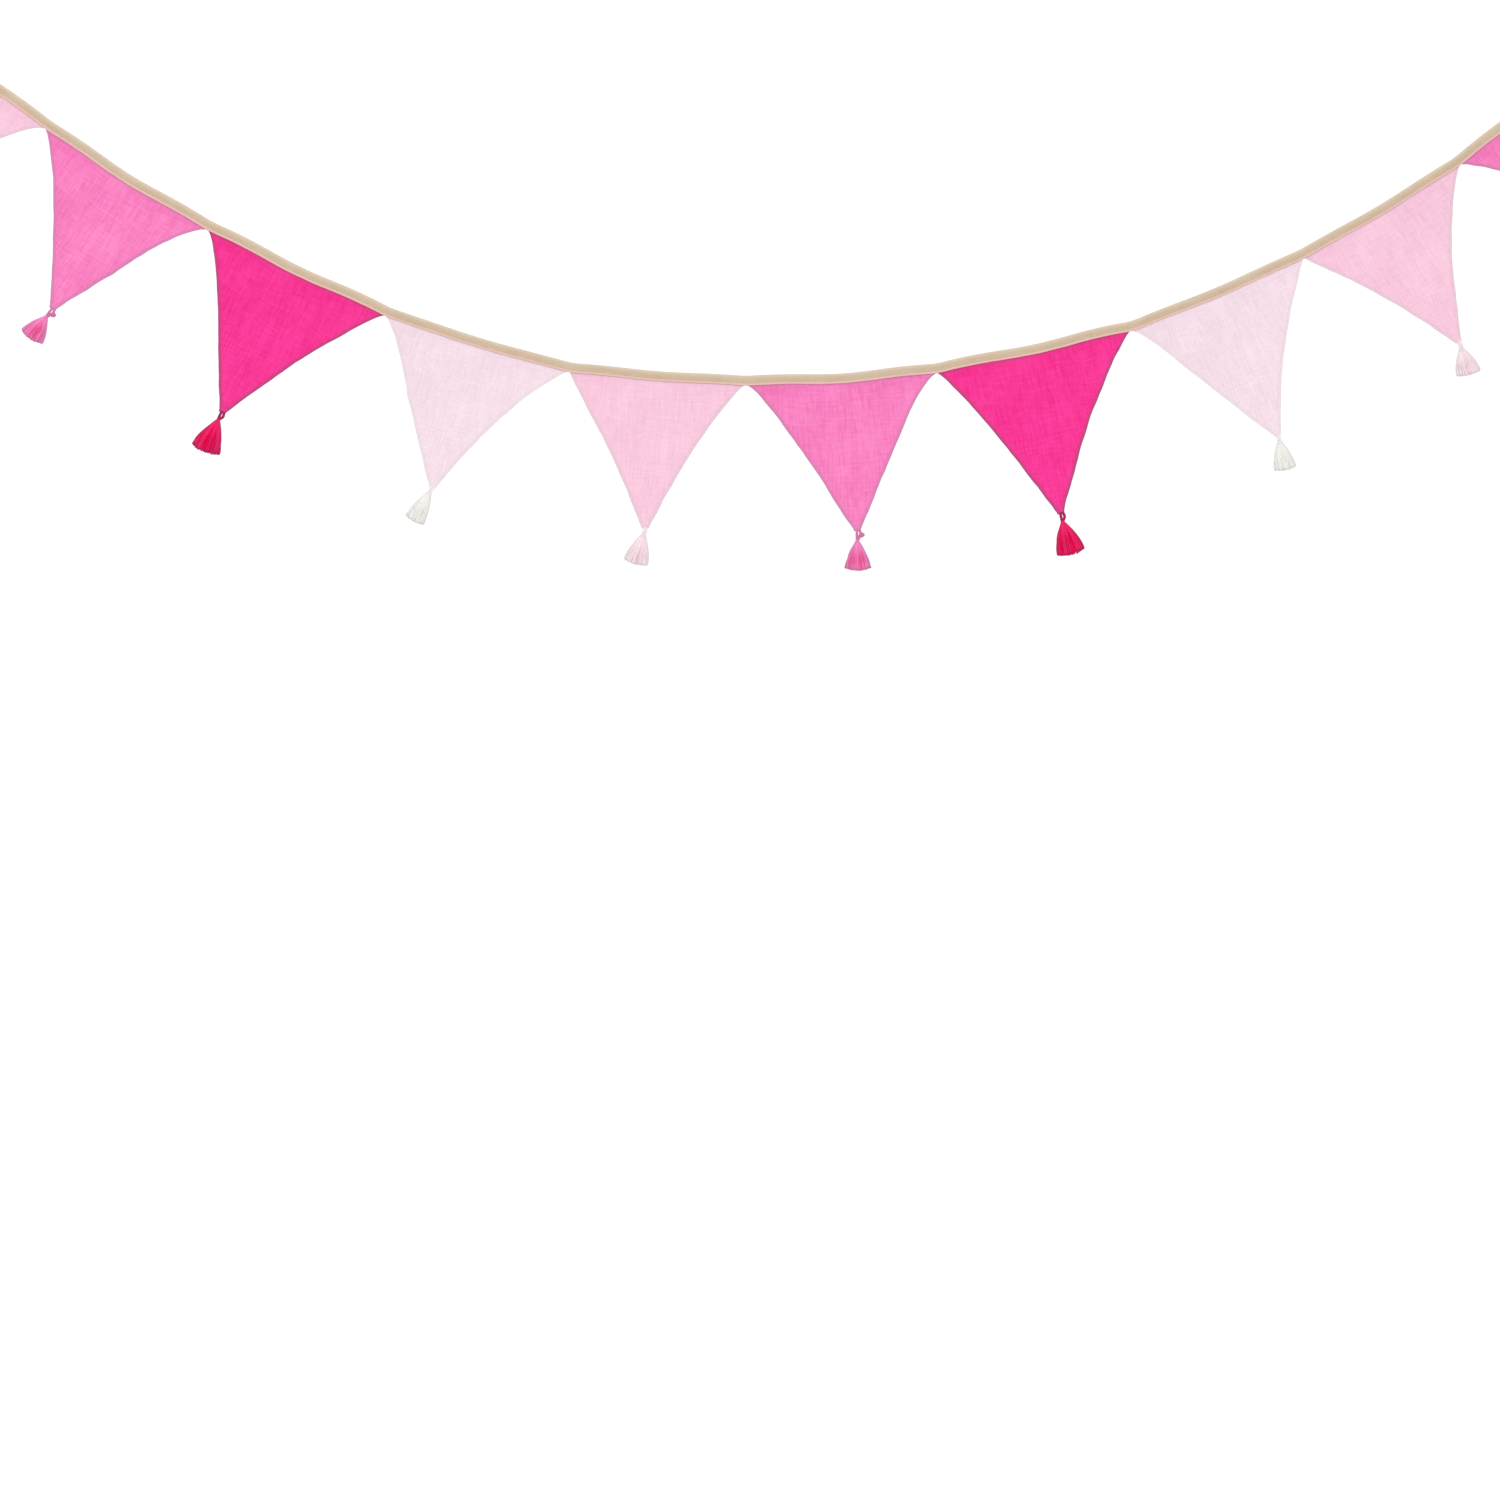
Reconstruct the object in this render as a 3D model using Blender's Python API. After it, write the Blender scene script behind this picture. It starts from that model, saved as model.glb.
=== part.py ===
"""A fabric bunting hung in a swag: one folded binding, ten triangular flags and ten thread tassels.

The tables are in millimetres and degrees. X runs along the garland from its left end, Z is up and the
front faces -Y. The origin is the top of the binding's left end.
"""
import math
import random
from collections import namedtuple

import bmesh
import bpy
from mathutils import Vector

MM = 0.001
GAP = 0.3                  # clear space between neighbouring pieces

# Binding: a strip folded lengthwise over the flags' top edges.
BINDING_HEIGHT = 10.0
LEAF = 1.0                 # thickness of one leaf of the folded strip
CLOSED_GAP = 0.4           # between the two leaves where no flag is held
CLOSING_LENGTH = 25.0      # over which the leaves come together past the last flag
FOLD_POINTS = 4            # points round the fold at the top
STATIONS = 9               # cross-sections along each run

# Flags: doubled gauze, turned and top-stitched.
CLOTH = 1.0                # thickness of one flag
FLAG_TOP = 2.0             # how far below the binding's top the held edge of a flag lies
FLAG_ROWS = 9              # rows of cloth below the binding
FLAG_COLUMNS = 9
TIP_HALF = 3.7             # half width of the blunt tip, just above its rounded end
TIP_END_HALF = 2.8
TIP_ROUNDING = 2.0         # height of the tip's rounded end
BOW_SKEW = 0.6             # under 1 moves the deepest place of a drawn-in side towards its corner
BELLY_REACH = 110.0        # below the chord, where the binding's sag no longer shows in a flag
FOLDS_ACROSS = 1.4         # soft folds side by side in a flag

# Tassels: a tied head over a skirt of locks.
HEAD_SIDES = 12
ROOT_INSET = 0.12          # bare rim around each lock's root
LOCK_UNEVENNESS = 0.05     # of the skirt's length
SKIRT_DEPTH = 0.78         # front to back, as a share of the skirt's width

# One row for each run of the binding, left to right. slope is in degrees below level, sag is the belly
# under the run's chord, ripple is how far it rises and dips along the chord besides, and depth is how far
# back the run's far end lies.
Run = namedtuple("Run", "length slope sag ripple depth")
RUNS = [
    Run(130, 43.0, 3.0, 0.0, 2.0),
    Run(188, 37.8, 2.0, 1.0, -2.0),
    Run(188, 31.9, 2.4, 1.0, 3.0),
    Run(199, 25.8, 1.1, 1.1, 0.5),
    Run(190, 16.9, 2.4, 0.3, -3.0),
    Run(173, 4.1, 1.3, 0.5, 1.0),
    Run(191, -3.8, 2.8, 1.0, 3.5),
    Run(199, -12.1, 0.9, 1.1, -1.0),
    Run(183, -23.0, 1.6, 0.5, 1.5),
    Run(179, -30.7, 1.8, 0.5, -2.5),
    Run(188, -39.8, 2.0, 1.0, 1.0),
    Run(130, -43.5, 3.0, 0.0, 0.0),
]
FIRST_FLAG_RUN = 1

# One row for each flag, left to right. left, right and tip are measured along its run from the run's start,
# drop down to the tip. bow_left and bow_right draw its sides in, wave_left and wave_right bend them to and
# fro. swing sends the tip back, curl_left and curl_right the side edges, and fold is the height of its folds.
Flag = namedtuple("Flag", "colour left right tip drop bow_left wave_left bow_right wave_right "
                          "swing curl_left curl_right fold")
FLAGS = [
    Flag("light_pink", 3.0, 186.0, 90.0, 160, 3.0, 0.0, 6.1, 2.4, 4, -3, 2, 1.5),
    Flag("mid_pink", -1.4, 186.2, 99.4, 159, 7.0, -0.4, 8.5, 1.0, -6, 3, -5, 1.8),
    Flag("hot_pink", 0.2, 195.2, 90.5, 168, 5.7, 0.2, 6.8, -1.2, 3, -2, 4, 1.4),
    Flag("pale_pink", -2.4, 187.1, 90.4, 160, 3.4, 1.8, 10.4, -1.4, 7, 3, -6, 1.8),
    Flag("light_pink", -2.3, 172.0, 83.8, 160, 2.0, -1.8, 7.2, -0.8, -4, -3, 3, 1.3),
    Flag("mid_pink", 1.6, 189.9, 101.2, 162, 6.7, 0.1, 7.2, 1.2, 6, 4, -4, 1.8),
    Flag("hot_pink", -0.5, 195.3, 89.4, 174, 5.3, -0.5, 7.9, -1.6, -7, -3, 4, 1.6),
    Flag("pale_pink", -1.9, 183.0, 91.4, 163, 3.4, 1.3, 7.6, -2.9, 4, 2, -6, 1.7),
    Flag("light_pink", 0.6, 179.9, 88.9, 161, 4.1, -1.9, 9.1, -1.1, -5, -4, 5, 1.5),
    Flag("mid_pink", 2.0, 185.0, 94.0, 161, 10.4, -1.5, 3.5, 0.0, 5, 4, -3, 1.6),
]

# One row for each tassel. lean is in degrees from straight down towards +X, length runs from the flag's tip
# to the ends of the threads, width is across those ends, and knot says to which side the knot stands out.
Tassel = namedtuple("Tassel", "colour lean length width knot")
TASSELS = [
    Tassel("blush_thread", -26, 37.0, 24.0, 1),
    Tassel("pink_thread", -36, 36.5, 24.5, 1),
    Tassel("crimson_thread", -23, 43.0, 27.5, 1),
    Tassel("white_thread", -29, 37.5, 20.0, -1),
    Tassel("blush_thread", -16, 36.5, 24.0, -1),
    Tassel("pink_thread", 1, 39.5, 25.0, 1),
    Tassel("crimson_thread", 15, 42.0, 28.0, -1),
    Tassel("white_thread", 12, 34.5, 21.5, -1),
    Tassel("blush_thread", 17, 34.0, 24.0, -1),
    Tassel("pink_thread", 27, 38.0, 25.0, 1),
]

# Rings of a tassel's head, top to bottom: distance below the flag's tip, half sizes and sideways shift.
Ring = namedtuple("Ring", "below half_width half_depth shift")
HEAD_RINGS = [
    Ring(0.0, 2.4, 1.6, 0.0),
    Ring(3.0, 1.9, 1.7, 0.2),
    Ring(5.5, 3.1, 2.6, 1.1),
    Ring(7.8, 1.7, 1.6, 0.3),
]
ROOT = Ring(10.0, 2.7, 2.3, 0.0)

# Stations down the skirt: share of its length, share of its width at the ends, and how much of the room
# around it a lock fills.
SkirtStation = namedtuple("SkirtStation", "share spread fullness")
SKIRT = [
    SkirtStation(0.18, 0.48, 0.84),
    SkirtStation(0.5, 0.84, 0.80),
    SkirtStation(1.0, 1.0, 0.78),
]

# Colours as 8-bit sRGB, with roughness.
Finish = namedtuple("Finish", "red green blue roughness")
FINISHES = {
    "beige_twill": Finish(213, 189, 161, 0.80),
    "light_pink": Finish(252, 204, 224, 0.90),
    "mid_pink": Finish(252, 132, 196, 0.90),
    "hot_pink": Finish(253, 57, 154, 0.90),
    "pale_pink": Finish(248, 225, 235, 0.90),
    "blush_thread": Finish(241, 222, 228, 0.70),
    "pink_thread": Finish(238, 126, 178, 0.70),
    "crimson_thread": Finish(222, 32, 96, 0.70),
    "white_thread": Finish(242, 239, 236, 0.70),
}


def clear_scene():
    """Remove whatever the file holds."""
    for item in list(bpy.data.objects):
        bpy.data.objects.remove(item)


def linear(channel):
    """Turn an 8-bit sRGB channel into Blender's linear value."""
    value = channel / 255
    return value / 12.92 if value <= 0.04045 else ((value + 0.055) / 1.055) ** 2.4


def finish_material(name):
    """Return the named material, made on its first use."""
    if name in bpy.data.materials:
        return bpy.data.materials[name]
    finish = FINISHES[name]
    material = bpy.data.materials.new(name)
    material.use_nodes = True
    shader = material.node_tree.nodes["Principled BSDF"]
    colour = (linear(finish.red), linear(finish.green), linear(finish.blue), 1.0)
    shader.inputs["Base Color"].default_value = colour
    shader.inputs["Roughness"].default_value = finish.roughness
    shader.inputs["Metallic"].default_value = 0.0
    return material


def ease(share):
    """Smooth step from 0 to 1."""
    share = min(max(share, 0.0), 1.0)
    return share * share * (3 - 2 * share)


def mix(first, second, share):
    """Value a share of the way from first to second."""
    return first + (second - first) * share


def run_starts():
    """Start of each run's chord, and the end of the last, from the origin at the left end."""
    points = [Vector((0.0, 0.0, 0.0))]
    for run in RUNS:
        slope = math.radians(run.slope)
        step = Vector((math.cos(slope), 0.0, -math.sin(slope))) * run.length
        points.append(points[-1] + step)
    return points


STARTS = run_starts()


def run_depth(index, share):
    """How far back the binding lies, a share of the way along a run."""
    start = RUNS[index - 1].depth if index else 0.0
    return mix(start, RUNS[index].depth, ease(share))


def run_belly(index, share):
    """How far the binding lies under its run's chord."""
    run = RUNS[index]
    return 4 * run.sag * share * (1 - share) - run.ripple * math.sin(3 * math.pi * share)


def binding_line():
    """Points down the binding's top line, each with the half distance between its leaves' middles."""
    held = CLOTH / 2 + GAP + LEAF / 2
    closed = CLOSED_GAP / 2 + LEAF / 2
    line = []
    for index, run in enumerate(RUNS):
        slope = math.radians(run.slope)
        along = Vector((math.cos(slope), 0.0, -math.sin(slope)))
        down = Vector((-math.sin(slope), 0.0, -math.cos(slope)))
        last = index == len(RUNS) - 1
        for station in range(STATIONS + 1 if last else STATIONS):
            share = station / STATIONS
            point = STARTS[index] + along * (run.length * share) + down * run_belly(index, share)
            point.y = run_depth(index, share)
            if index == 0:
                past_flags = run.length * (1 - share)
            else:
                past_flags = run.length * share if last else 0.0
            line.append((point, mix(held, closed, ease(past_flags / CLOSING_LENGTH))))
    return line


def fold_section(half):
    """Middle line of the folded strip as (back, below) pairs, from the front leaf's edge to the back one's."""
    fold_centre = LEAF / 2 + half
    section = [(-half, BINDING_HEIGHT)]
    for step in range(FOLD_POINTS):
        angle = math.pi * step / (FOLD_POINTS - 1)
        section.append((-half * math.cos(angle), fold_centre - half * math.sin(angle)))
    section.append((half, BINDING_HEIGHT))
    return section


def grid_faces(rows, columns):
    """Quads of a grid of points stored row by row."""
    faces = []
    for row in range(rows - 1):
        for column in range(columns - 1):
            corner = row * columns + column
            faces.append((corner, corner + 1, corner + columns + 1, corner + columns))
    return faces


def sheet_object(name, points, rows, columns, thickness, finish):
    """A cloth object: a grid of points thickened evenly to both sides."""
    mesh = bpy.data.meshes.new(name)
    mesh.from_pydata([point * MM for point in points], [], grid_faces(rows, columns))
    item = bpy.data.objects.new(name, mesh)
    bpy.context.collection.objects.link(item)
    mesh.materials.append(finish_material(finish))
    mesh.shade_smooth()
    solidify = item.modifiers.new("thickness", "SOLIDIFY")
    solidify.thickness = thickness * MM
    solidify.offset = 0.0
    solidify.use_even_offset = True
    return item


def make_binding(parent):
    """The strip folded over the flags' top edges, from one free end to the other."""
    line = binding_line()
    points = []
    for index, (point, half) in enumerate(line):
        before = line[max(index - 1, 0)][0]
        after = line[min(index + 1, len(line) - 1)][0]
        along = (after - before).normalized()
        down = Vector((along.z, 0.0, -along.x)).normalized()
        for back, below in fold_section(half):
            points.append(point + down * below + Vector((0.0, back, 0.0)))
    columns = FOLD_POINTS + 2
    item = sheet_object("binding_tape", points, len(line), columns, LEAF, "beige_twill")
    item.parent = parent


def flag_rows(flag):
    """Distances of a flag's rows below the chord, from the held edge to the tip."""
    first = BINDING_HEIGHT - GAP / 2
    last = flag.drop - TIP_ROUNDING
    free = [mix(first, last, row / (FLAG_ROWS - 1)) for row in range(FLAG_ROWS)]
    return [FLAG_TOP] + free + [flag.drop]


def flag_sides(flag, below):
    """Where a flag's left and right edges lie along the run, at a distance below the chord."""
    if below >= flag.drop:
        return flag.tip - TIP_END_HALF, flag.tip + TIP_END_HALF
    share = (below - BINDING_HEIGHT) / (flag.drop - TIP_ROUNDING - BINDING_HEIGHT)
    share = min(max(share, 0.0), 1.0)
    drawn_in = math.sin(math.pi * share ** BOW_SKEW)
    waved = math.sin(2 * math.pi * share ** BOW_SKEW)
    left = mix(flag.left, flag.tip - TIP_HALF, share) + flag.bow_left * drawn_in + flag.wave_left * waved
    right = mix(flag.right, flag.tip + TIP_HALF, share) - flag.bow_right * drawn_in - flag.wave_right * waved
    return left, right


def flag_depth(flag, across, below):
    """How far the cloth hangs back of the binding's line, across 0 to 1 between the sides."""
    share = max(0.0, below - BINDING_HEIGHT) / (flag.drop - BINDING_HEIGHT)
    free = ease(3 * share) * (1 - share)
    curl = flag.curl_left * (1 - across) ** 3 + flag.curl_right * across ** 3
    fold = flag.fold * math.sin(2 * math.pi * FOLDS_ACROSS * across + flag.tip)
    return flag.swing * share + free * (curl + fold)


def flag_point(number, along, across, below):
    """A point of a flag in its run's own axes: along the chord, back and up."""
    flag = FLAGS[number]
    index = FIRST_FLAG_RUN + number
    share = along / RUNS[index].length
    belly = run_belly(index, share) * max(0.0, 1 - below / BELLY_REACH)
    back = run_depth(index, share) + flag_depth(flag, across, below)
    return Vector((along, back, -(below + belly)))


def make_flag(number, parent):
    """One triangular flag, its top edge held inside the binding."""
    flag = FLAGS[number]
    index = FIRST_FLAG_RUN + number
    rows = flag_rows(flag)
    points = []
    for below in rows:
        left, right = flag_sides(flag, below)
        for column in range(FLAG_COLUMNS + 1):
            across = column / FLAG_COLUMNS
            points.append(flag_point(number, mix(left, right, across), across, below))
    name = "flag_%02d" % (number + 1)
    item = sheet_object(name, points, len(rows), FLAG_COLUMNS + 1, CLOTH, flag.colour)
    item.location = STARTS[index] * MM
    item.rotation_euler.y = math.radians(RUNS[index].slope)
    item.parent = parent


def tassel_seat(number):
    """Where a tassel's head meets its flag's tip, a gap below the cloth."""
    flag = FLAGS[number]
    index = FIRST_FLAG_RUN + number
    slope = math.radians(RUNS[index].slope)
    tilt = math.radians(TASSELS[number].lean) + slope
    tip = flag_point(number, flag.tip, 0.5, flag.drop)
    below = -tip.z + GAP + HEAD_RINGS[0].half_width * abs(math.sin(tilt))
    along = Vector((math.cos(slope), 0.0, -math.sin(slope)))
    down = Vector((-math.sin(slope), 0.0, -math.cos(slope)))
    seat = STARTS[index] + along * tip.x + down * below
    seat.y = tip.y
    return seat


def ring_vertices(mesh, ring, knot, corner_radius):
    """Add one ring of a tassel's head; corner_radius scales every second vertex's distance."""
    ring_points = []
    for step in range(HEAD_SIDES):
        angle = 2 * math.pi * step / HEAD_SIDES
        radius = 1.0 if step % 2 == 0 else corner_radius
        across = ring.shift * knot + ring.half_width * radius * math.cos(angle)
        back = ring.half_depth * radius * math.sin(angle)
        ring_points.append(mesh.verts.new((across, back, -ring.below)))
    return ring_points


def join_rings(mesh, upper, lower):
    """Quads between two rings of a tassel's head."""
    for step in range(HEAD_SIDES):
        following = (step + 1) % HEAD_SIDES
        mesh.faces.new((upper[step], upper[following], lower[following], lower[step]))


def root_faces(mesh, rim):
    """Fill the head's underside with four triangles in each of its six sectors, one for each lock."""
    centre = mesh.verts.new((0.0, 0.0, -ROOT.below))
    inner = []
    for sector in range(HEAD_SIDES // 2):
        corner = rim[2 * sector].co
        inner.append(mesh.verts.new((corner.x / 2, corner.y / 2, -ROOT.below)))
    faces = []
    for sector in range(len(inner)):
        first, second = inner[sector], inner[(sector + 1) % len(inner)]
        corner, middle = rim[2 * sector], rim[2 * sector + 1]
        next_corner = rim[(2 * sector + 2) % HEAD_SIDES]
        faces.append(mesh.faces.new((centre, first, second)))
        faces.append(mesh.faces.new((first, corner, middle)))
        faces.append(mesh.faces.new((first, middle, second)))
        faces.append(mesh.faces.new((second, middle, next_corner)))
    return faces


def grow_lock(mesh, root, tassel, extra):
    """Replace one root face by a lock of thread that runs down and out; extra is its share of added length."""
    ring = list(root.verts)
    corners = [vertex.co.copy() for vertex in ring]
    centre = sum(corners, Vector()) / len(corners)
    mesh.faces.remove(root)
    skirt = tassel.length - ROOT.below
    for station in SKIRT:
        wide = station.spread * tassel.width / 2 / ROOT.half_width
        deep = wide * SKIRT_DEPTH * ROOT.half_width / ROOT.half_depth
        below = ROOT.below + skirt * station.share * (1 + extra)
        lower = []
        for corner in corners:
            place = centre.lerp(corner, station.fullness)
            lower.append(mesh.verts.new((place.x * wide, place.y * deep, -below)))
        for side in range(len(ring)):
            following = (side + 1) % len(ring)
            mesh.faces.new((ring[side], ring[following], lower[following], lower[side]))
        ring = lower
    mesh.faces.new(ring)


def make_tassel(number, parent):
    """One tassel: a tied head with its knot, and a flaring skirt of locks fused to the head."""
    tassel = TASSELS[number]
    mesh = bmesh.new()
    rings = [ring_vertices(mesh, ring, tassel.knot, 1.0) for ring in HEAD_RINGS]
    rings.append(ring_vertices(mesh, ROOT, tassel.knot, math.cos(math.pi / (HEAD_SIDES // 2))))
    mesh.faces.new(rings[0])
    for upper, lower in zip(rings, rings[1:]):
        join_rings(mesh, upper, lower)
    roots = root_faces(mesh, rings[-1])
    bmesh.ops.inset_individual(mesh, faces=roots, thickness=ROOT_INSET, use_even_offset=True)
    draws = random.Random(number)
    for root in roots:
        grow_lock(mesh, root, tassel, draws.uniform(-LOCK_UNEVENNESS, LOCK_UNEVENNESS))
    bmesh.ops.recalc_face_normals(mesh, faces=mesh.faces)
    bmesh.ops.scale(mesh, vec=(MM, MM, MM), verts=mesh.verts)

    name = "tassel_%02d" % (number + 1)
    data = bpy.data.meshes.new(name)
    mesh.to_mesh(data)
    mesh.free()
    data.materials.append(finish_material(tassel.colour))
    data.shade_smooth()
    data.set_sharp_from_angle(angle=math.radians(40))
    item = bpy.data.objects.new(name, data)
    bpy.context.collection.objects.link(item)
    item.location = tassel_seat(number) * MM
    item.rotation_euler.y = -math.radians(tassel.lean)
    item.parent = parent


def main():
    """Build the garland under an empty at its left end."""
    clear_scene()
    left_end = bpy.data.objects.new("left_end", None)
    bpy.context.collection.objects.link(left_end)
    make_binding(left_end)
    for number in range(len(FLAGS)):
        make_flag(number, left_end)
        make_tassel(number, left_end)


main()
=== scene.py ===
"""Looks of the fabric bunting: gauze flags, twill binding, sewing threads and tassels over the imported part.

The tables are in millimetres and degrees and repeat the part's own values. X runs along the garland from its
left end, Z is up and the front faces -Y. The origin is the top of the binding's left end.
"""
import math
from collections import namedtuple

import bpy
import numpy as np
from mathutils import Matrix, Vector


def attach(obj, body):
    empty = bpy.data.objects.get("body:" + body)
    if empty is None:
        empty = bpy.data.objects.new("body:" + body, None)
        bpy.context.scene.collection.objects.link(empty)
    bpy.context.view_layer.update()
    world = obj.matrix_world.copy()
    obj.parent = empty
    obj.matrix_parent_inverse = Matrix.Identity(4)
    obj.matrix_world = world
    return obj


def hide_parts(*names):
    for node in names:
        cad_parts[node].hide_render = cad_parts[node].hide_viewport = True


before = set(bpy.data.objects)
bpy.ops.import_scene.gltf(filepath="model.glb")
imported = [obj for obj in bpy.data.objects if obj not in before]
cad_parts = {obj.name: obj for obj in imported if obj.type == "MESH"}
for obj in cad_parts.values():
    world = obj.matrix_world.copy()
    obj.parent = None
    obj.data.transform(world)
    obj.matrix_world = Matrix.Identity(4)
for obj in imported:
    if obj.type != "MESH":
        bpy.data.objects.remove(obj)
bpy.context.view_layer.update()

MM = 0.001
TURN = 2 * math.pi
FACINGS = (-1, 1)  # front and back, as the sign of Y
SIDES = (-1, 1)  # left and right, as the sign of X

# Binding: a strip folded lengthwise over the flags' top edges.
BINDING_HEIGHT = 10.0
HELD_HALF = 1.15  # from the binding's middle to the middle of a leaf, over a flag
CLOSED_HALF = 0.7  # the same where no flag is held
CLOSING_LENGTH = 25.0
STATION_PITCH = 1.5  # between cross-sections
LINE_SMOOTHING = 9  # stations over which the kinks between runs are eased
FOLD_ARC_STEPS = 8
FOLD_OUTSIDE = 0.46  # from a leaf's middle to the fold's outer surface
FOLD_DROP = 0.05  # from the binding's line to the fold's top
# painted highlight along the top of the binding's fold
FOLD_PAINTED_HIGHLIGHT = 0.7
LEAF_INSIDE = 0.38  # from a leaf's middle to its inner surface
TURNED_TOP = 6.0  # where the turned lower edge begins
TURNED_CALM = 0.5  # share of the puckers that it takes away
EDGE_WANDER = 0.16  # how far the lower edge strays
EDGE_WANDER_LENGTH = 13.0

# Flags: doubled gauze, turned and top-stitched.
FLAG_TOP = 2.0
TIP_HALF = 3.7
TIP_END_HALF = 2.8
TIP_ROUNDING = 2.0
TIP_THICKNESS_SHARE = 0.45
TIP_THINNING = 1.2
BOW_SKEW = 0.6
BELLY_REACH = 110.0
FOLDS_ACROSS = 1.4
MIDDLE_COLUMNS = 165
HELD_ROWS = 5
FREE_ROWS = 52
TIP_ROWS = 6
HELD_ROWS_GAP = 0.5  # between the last held row and the first free one
SEAM_LINE = 3.0  # from a flag's side to its top-stitching
SEAM_BAND_SHARE = 0.45  # most of a flag's width that one seam takes
SEAM_STIFFNESS = 0.35  # share of the crinkles that is left at the side
SEAM_EASE = 7.0  # from the side to where they have their full height
SKIN_EASE = 1.5  # the same for each skin's own
HELD_RISE = 1.0  # how far inside the binding the crinkles begin
HELD_EASE = 5.0
STRAY_EASE = 10.0  # over which the sides begin to stray
STRAY_ROWS = 20.5  # from the left side's row of the noise to the right side's
SKIN_SHIFT = 400.0  # from one skin's own crinkles to the other's
BACK_SHIFT = 40.0  # from the front's weave to the back's
BEND_HEIGHT = 1.8  # how far the crinkles' lines wander
BEND_CELL = (24.0, 30.0)

# Painted shade on the gauze: along its turned sides, right under the binding and at its top corners.
SIDE_LINE = 1.5  # width of the painted shade line along a turned side
SIDE_FADE = 1.7
SIDE_PAINTED_SHADE = 0.95
HELD_PAINTED_SHADE = 0.45  # painted shade right under the binding
HELD_FADE = 2.5
TOP_SHADE = 1.0  # how much deeper the gauze's colour is at its top corners
TOP_SHADE_REACH = 15.0

# Stitches, and the tacks across the binding's ends.
STITCH_PITCH = 3.0
STITCH_GAP = 0.5  # bare cloth between two stitches
STITCH_BELOW = 7.4  # from the binding's top
STITCH_OUT = 0.36  # from the middle of the leaf
STITCH_SLANT = 0.07  # how far each end lies off the line
STITCH_DRIFT = 0.12  # how far the line itself strays
STITCH_DRIFT_LENGTH = 30.0
FLAG_STITCH_START = 1.0  # below the binding
FLAG_STITCH_END = 5.0  # above the flag's tip
FLAG_STITCH_STEP = 0.25
TACK_BELOW = (2.0, 4.2, 6.4)
TACK_LENGTH = 1.8
TACK_INSET = 2.4
TACK_OUT = 0.5
TACK_TONE = 0.5

# Skirts of the tassels.
HEAD_HALF_WIDTH = 2.4
SEAT_GAP = 0.3
SKIRT_DEPTH = 0.78
SKIRT_STEPS = 10
THREAD_SIDES = 4
THREAD_SPREAD = 0.2  # how unevenly threads lie, as a share of their pitch
CORE_SIDES = 24
CORE_REACH = 0.92  # share of the skirt's full spread
CORE_END = 0.94  # share of its length
# painted shade: the core inside the skirt takes mostly the deep colour
CORE_SHADE_TONE = 0.1
CORE_CLOTH = (3.0, 3.0, 1.0)
CUT_ROUNDNESS = 0.8  # 0 for ends cut level, 1 for ends at one distance from the neck
CUT_SLANT = 0.12  # how much lower the front threads end
SKIRT_UNEVENNESS = 0.012
STRAY_SHARE = 0.15  # of the threads that leave the combed skirt
STRAY_LEAST = 0.4  # least share of its full height that a stray takes
STRAY_TURNS = (0.5, 1.3)
COMBED_HEIGHT = 0.25
STREAK_ANGLE = 0.11  # width of the darker streaks, in radians
CUT_EDGE = 0.5  # share of the edge colour at the cut ends
CUT_START = 0.93  # where down the skirt it begins
SKIRT_SIDE_SHADE = 0.4  # the same share along the skirt's sides, as painted shade

# Loops and necks of the tassels.
CORD_PITCH = 2.4
CORD_ROOM = 0.85  # share of its opening at which the loop leaves the tip
CORD_OUT = 0.2  # how far below the tip it leaves
CORD_CAUGHT = 1.3  # length of its ends that is caught in the tip
CAUGHT_SHARE = 0.8  # how much nearer to each other they lie there
PLY_OFFSET = 0.5  # from the cord's middle, as a share of its radius
PLY_RADIUS = 0.6
PLY_SIDES = 6
LOOP_STEPS = 34
LOOP_TONE = 0.5
LOOP_APART = 0.35  # how far to the front or back each strand lies
LOOP_WIDEST = 0.45  # share of the way to where the strands meet
STRANDS_MEET = 0.25  # from the middle to a strand there, as a share of the neck's half width
STRANDS_END = 0.3
STRANDS_HIDDEN = 1.0  # how far below the neck they end
KNOT_CORD = 0.8  # share of the loop's radius
KNOT_STEPS = 72
KNOT_DEPTH = 1.3
NECK_TURNS = 5
NECK_STEPS = 14  # for each turn
NECK_THREAD = 0.24
NECK_SIDES = 5
NECK_TONE = 0.8
NECK_RISE = 1.7  # from the neck's end up to the first turn, and down to the last
NECK_FALL = 0.3
NECK_TOP_SHARE = 0.8  # of the neck's half width, at the first turn
NECK_OUT = 0.2  # how far the last turn stands out from it

# Materials. A pitch is the distance between two ridges.
WARP_PITCH = 0.62
WEFT_PITCH = 0.68
CREASE_WIDTH = 0.06
RIB_PITCH = 1.15
YARN_PITCH = 0.75
TWIST_PITCH = 0.7
THREAD_SHIFT = 7.3  # from one thread's fibres to the next one's
SHEEN_ROUGHNESS = 0.5
Gloss = namedtuple("Gloss", "sheen specular")
CLOTH_GLOSS = Gloss(0.08, 0.15)
THREAD_GLOSS = Gloss(0.01, 0.05)

# Seeds, whose next numbers belong to the back or the other flags, and steps of the noise and the paths.
BINDING_STITCH_SEED = 31
STITCH_DRIFT_SEED = 33
FLAG_STITCH_SEED = 60
EDGE_WANDER_SEED = 75
STREAK_SEED = 77
BEND_SEED = 500
TASSEL_SEED = 900
CRINKLE_SEEDS = 40  # for each flag
LATTICE = 128  # cells of the noise before it repeats
SPLINE_STEPS = 20  # between two points of a path

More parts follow.
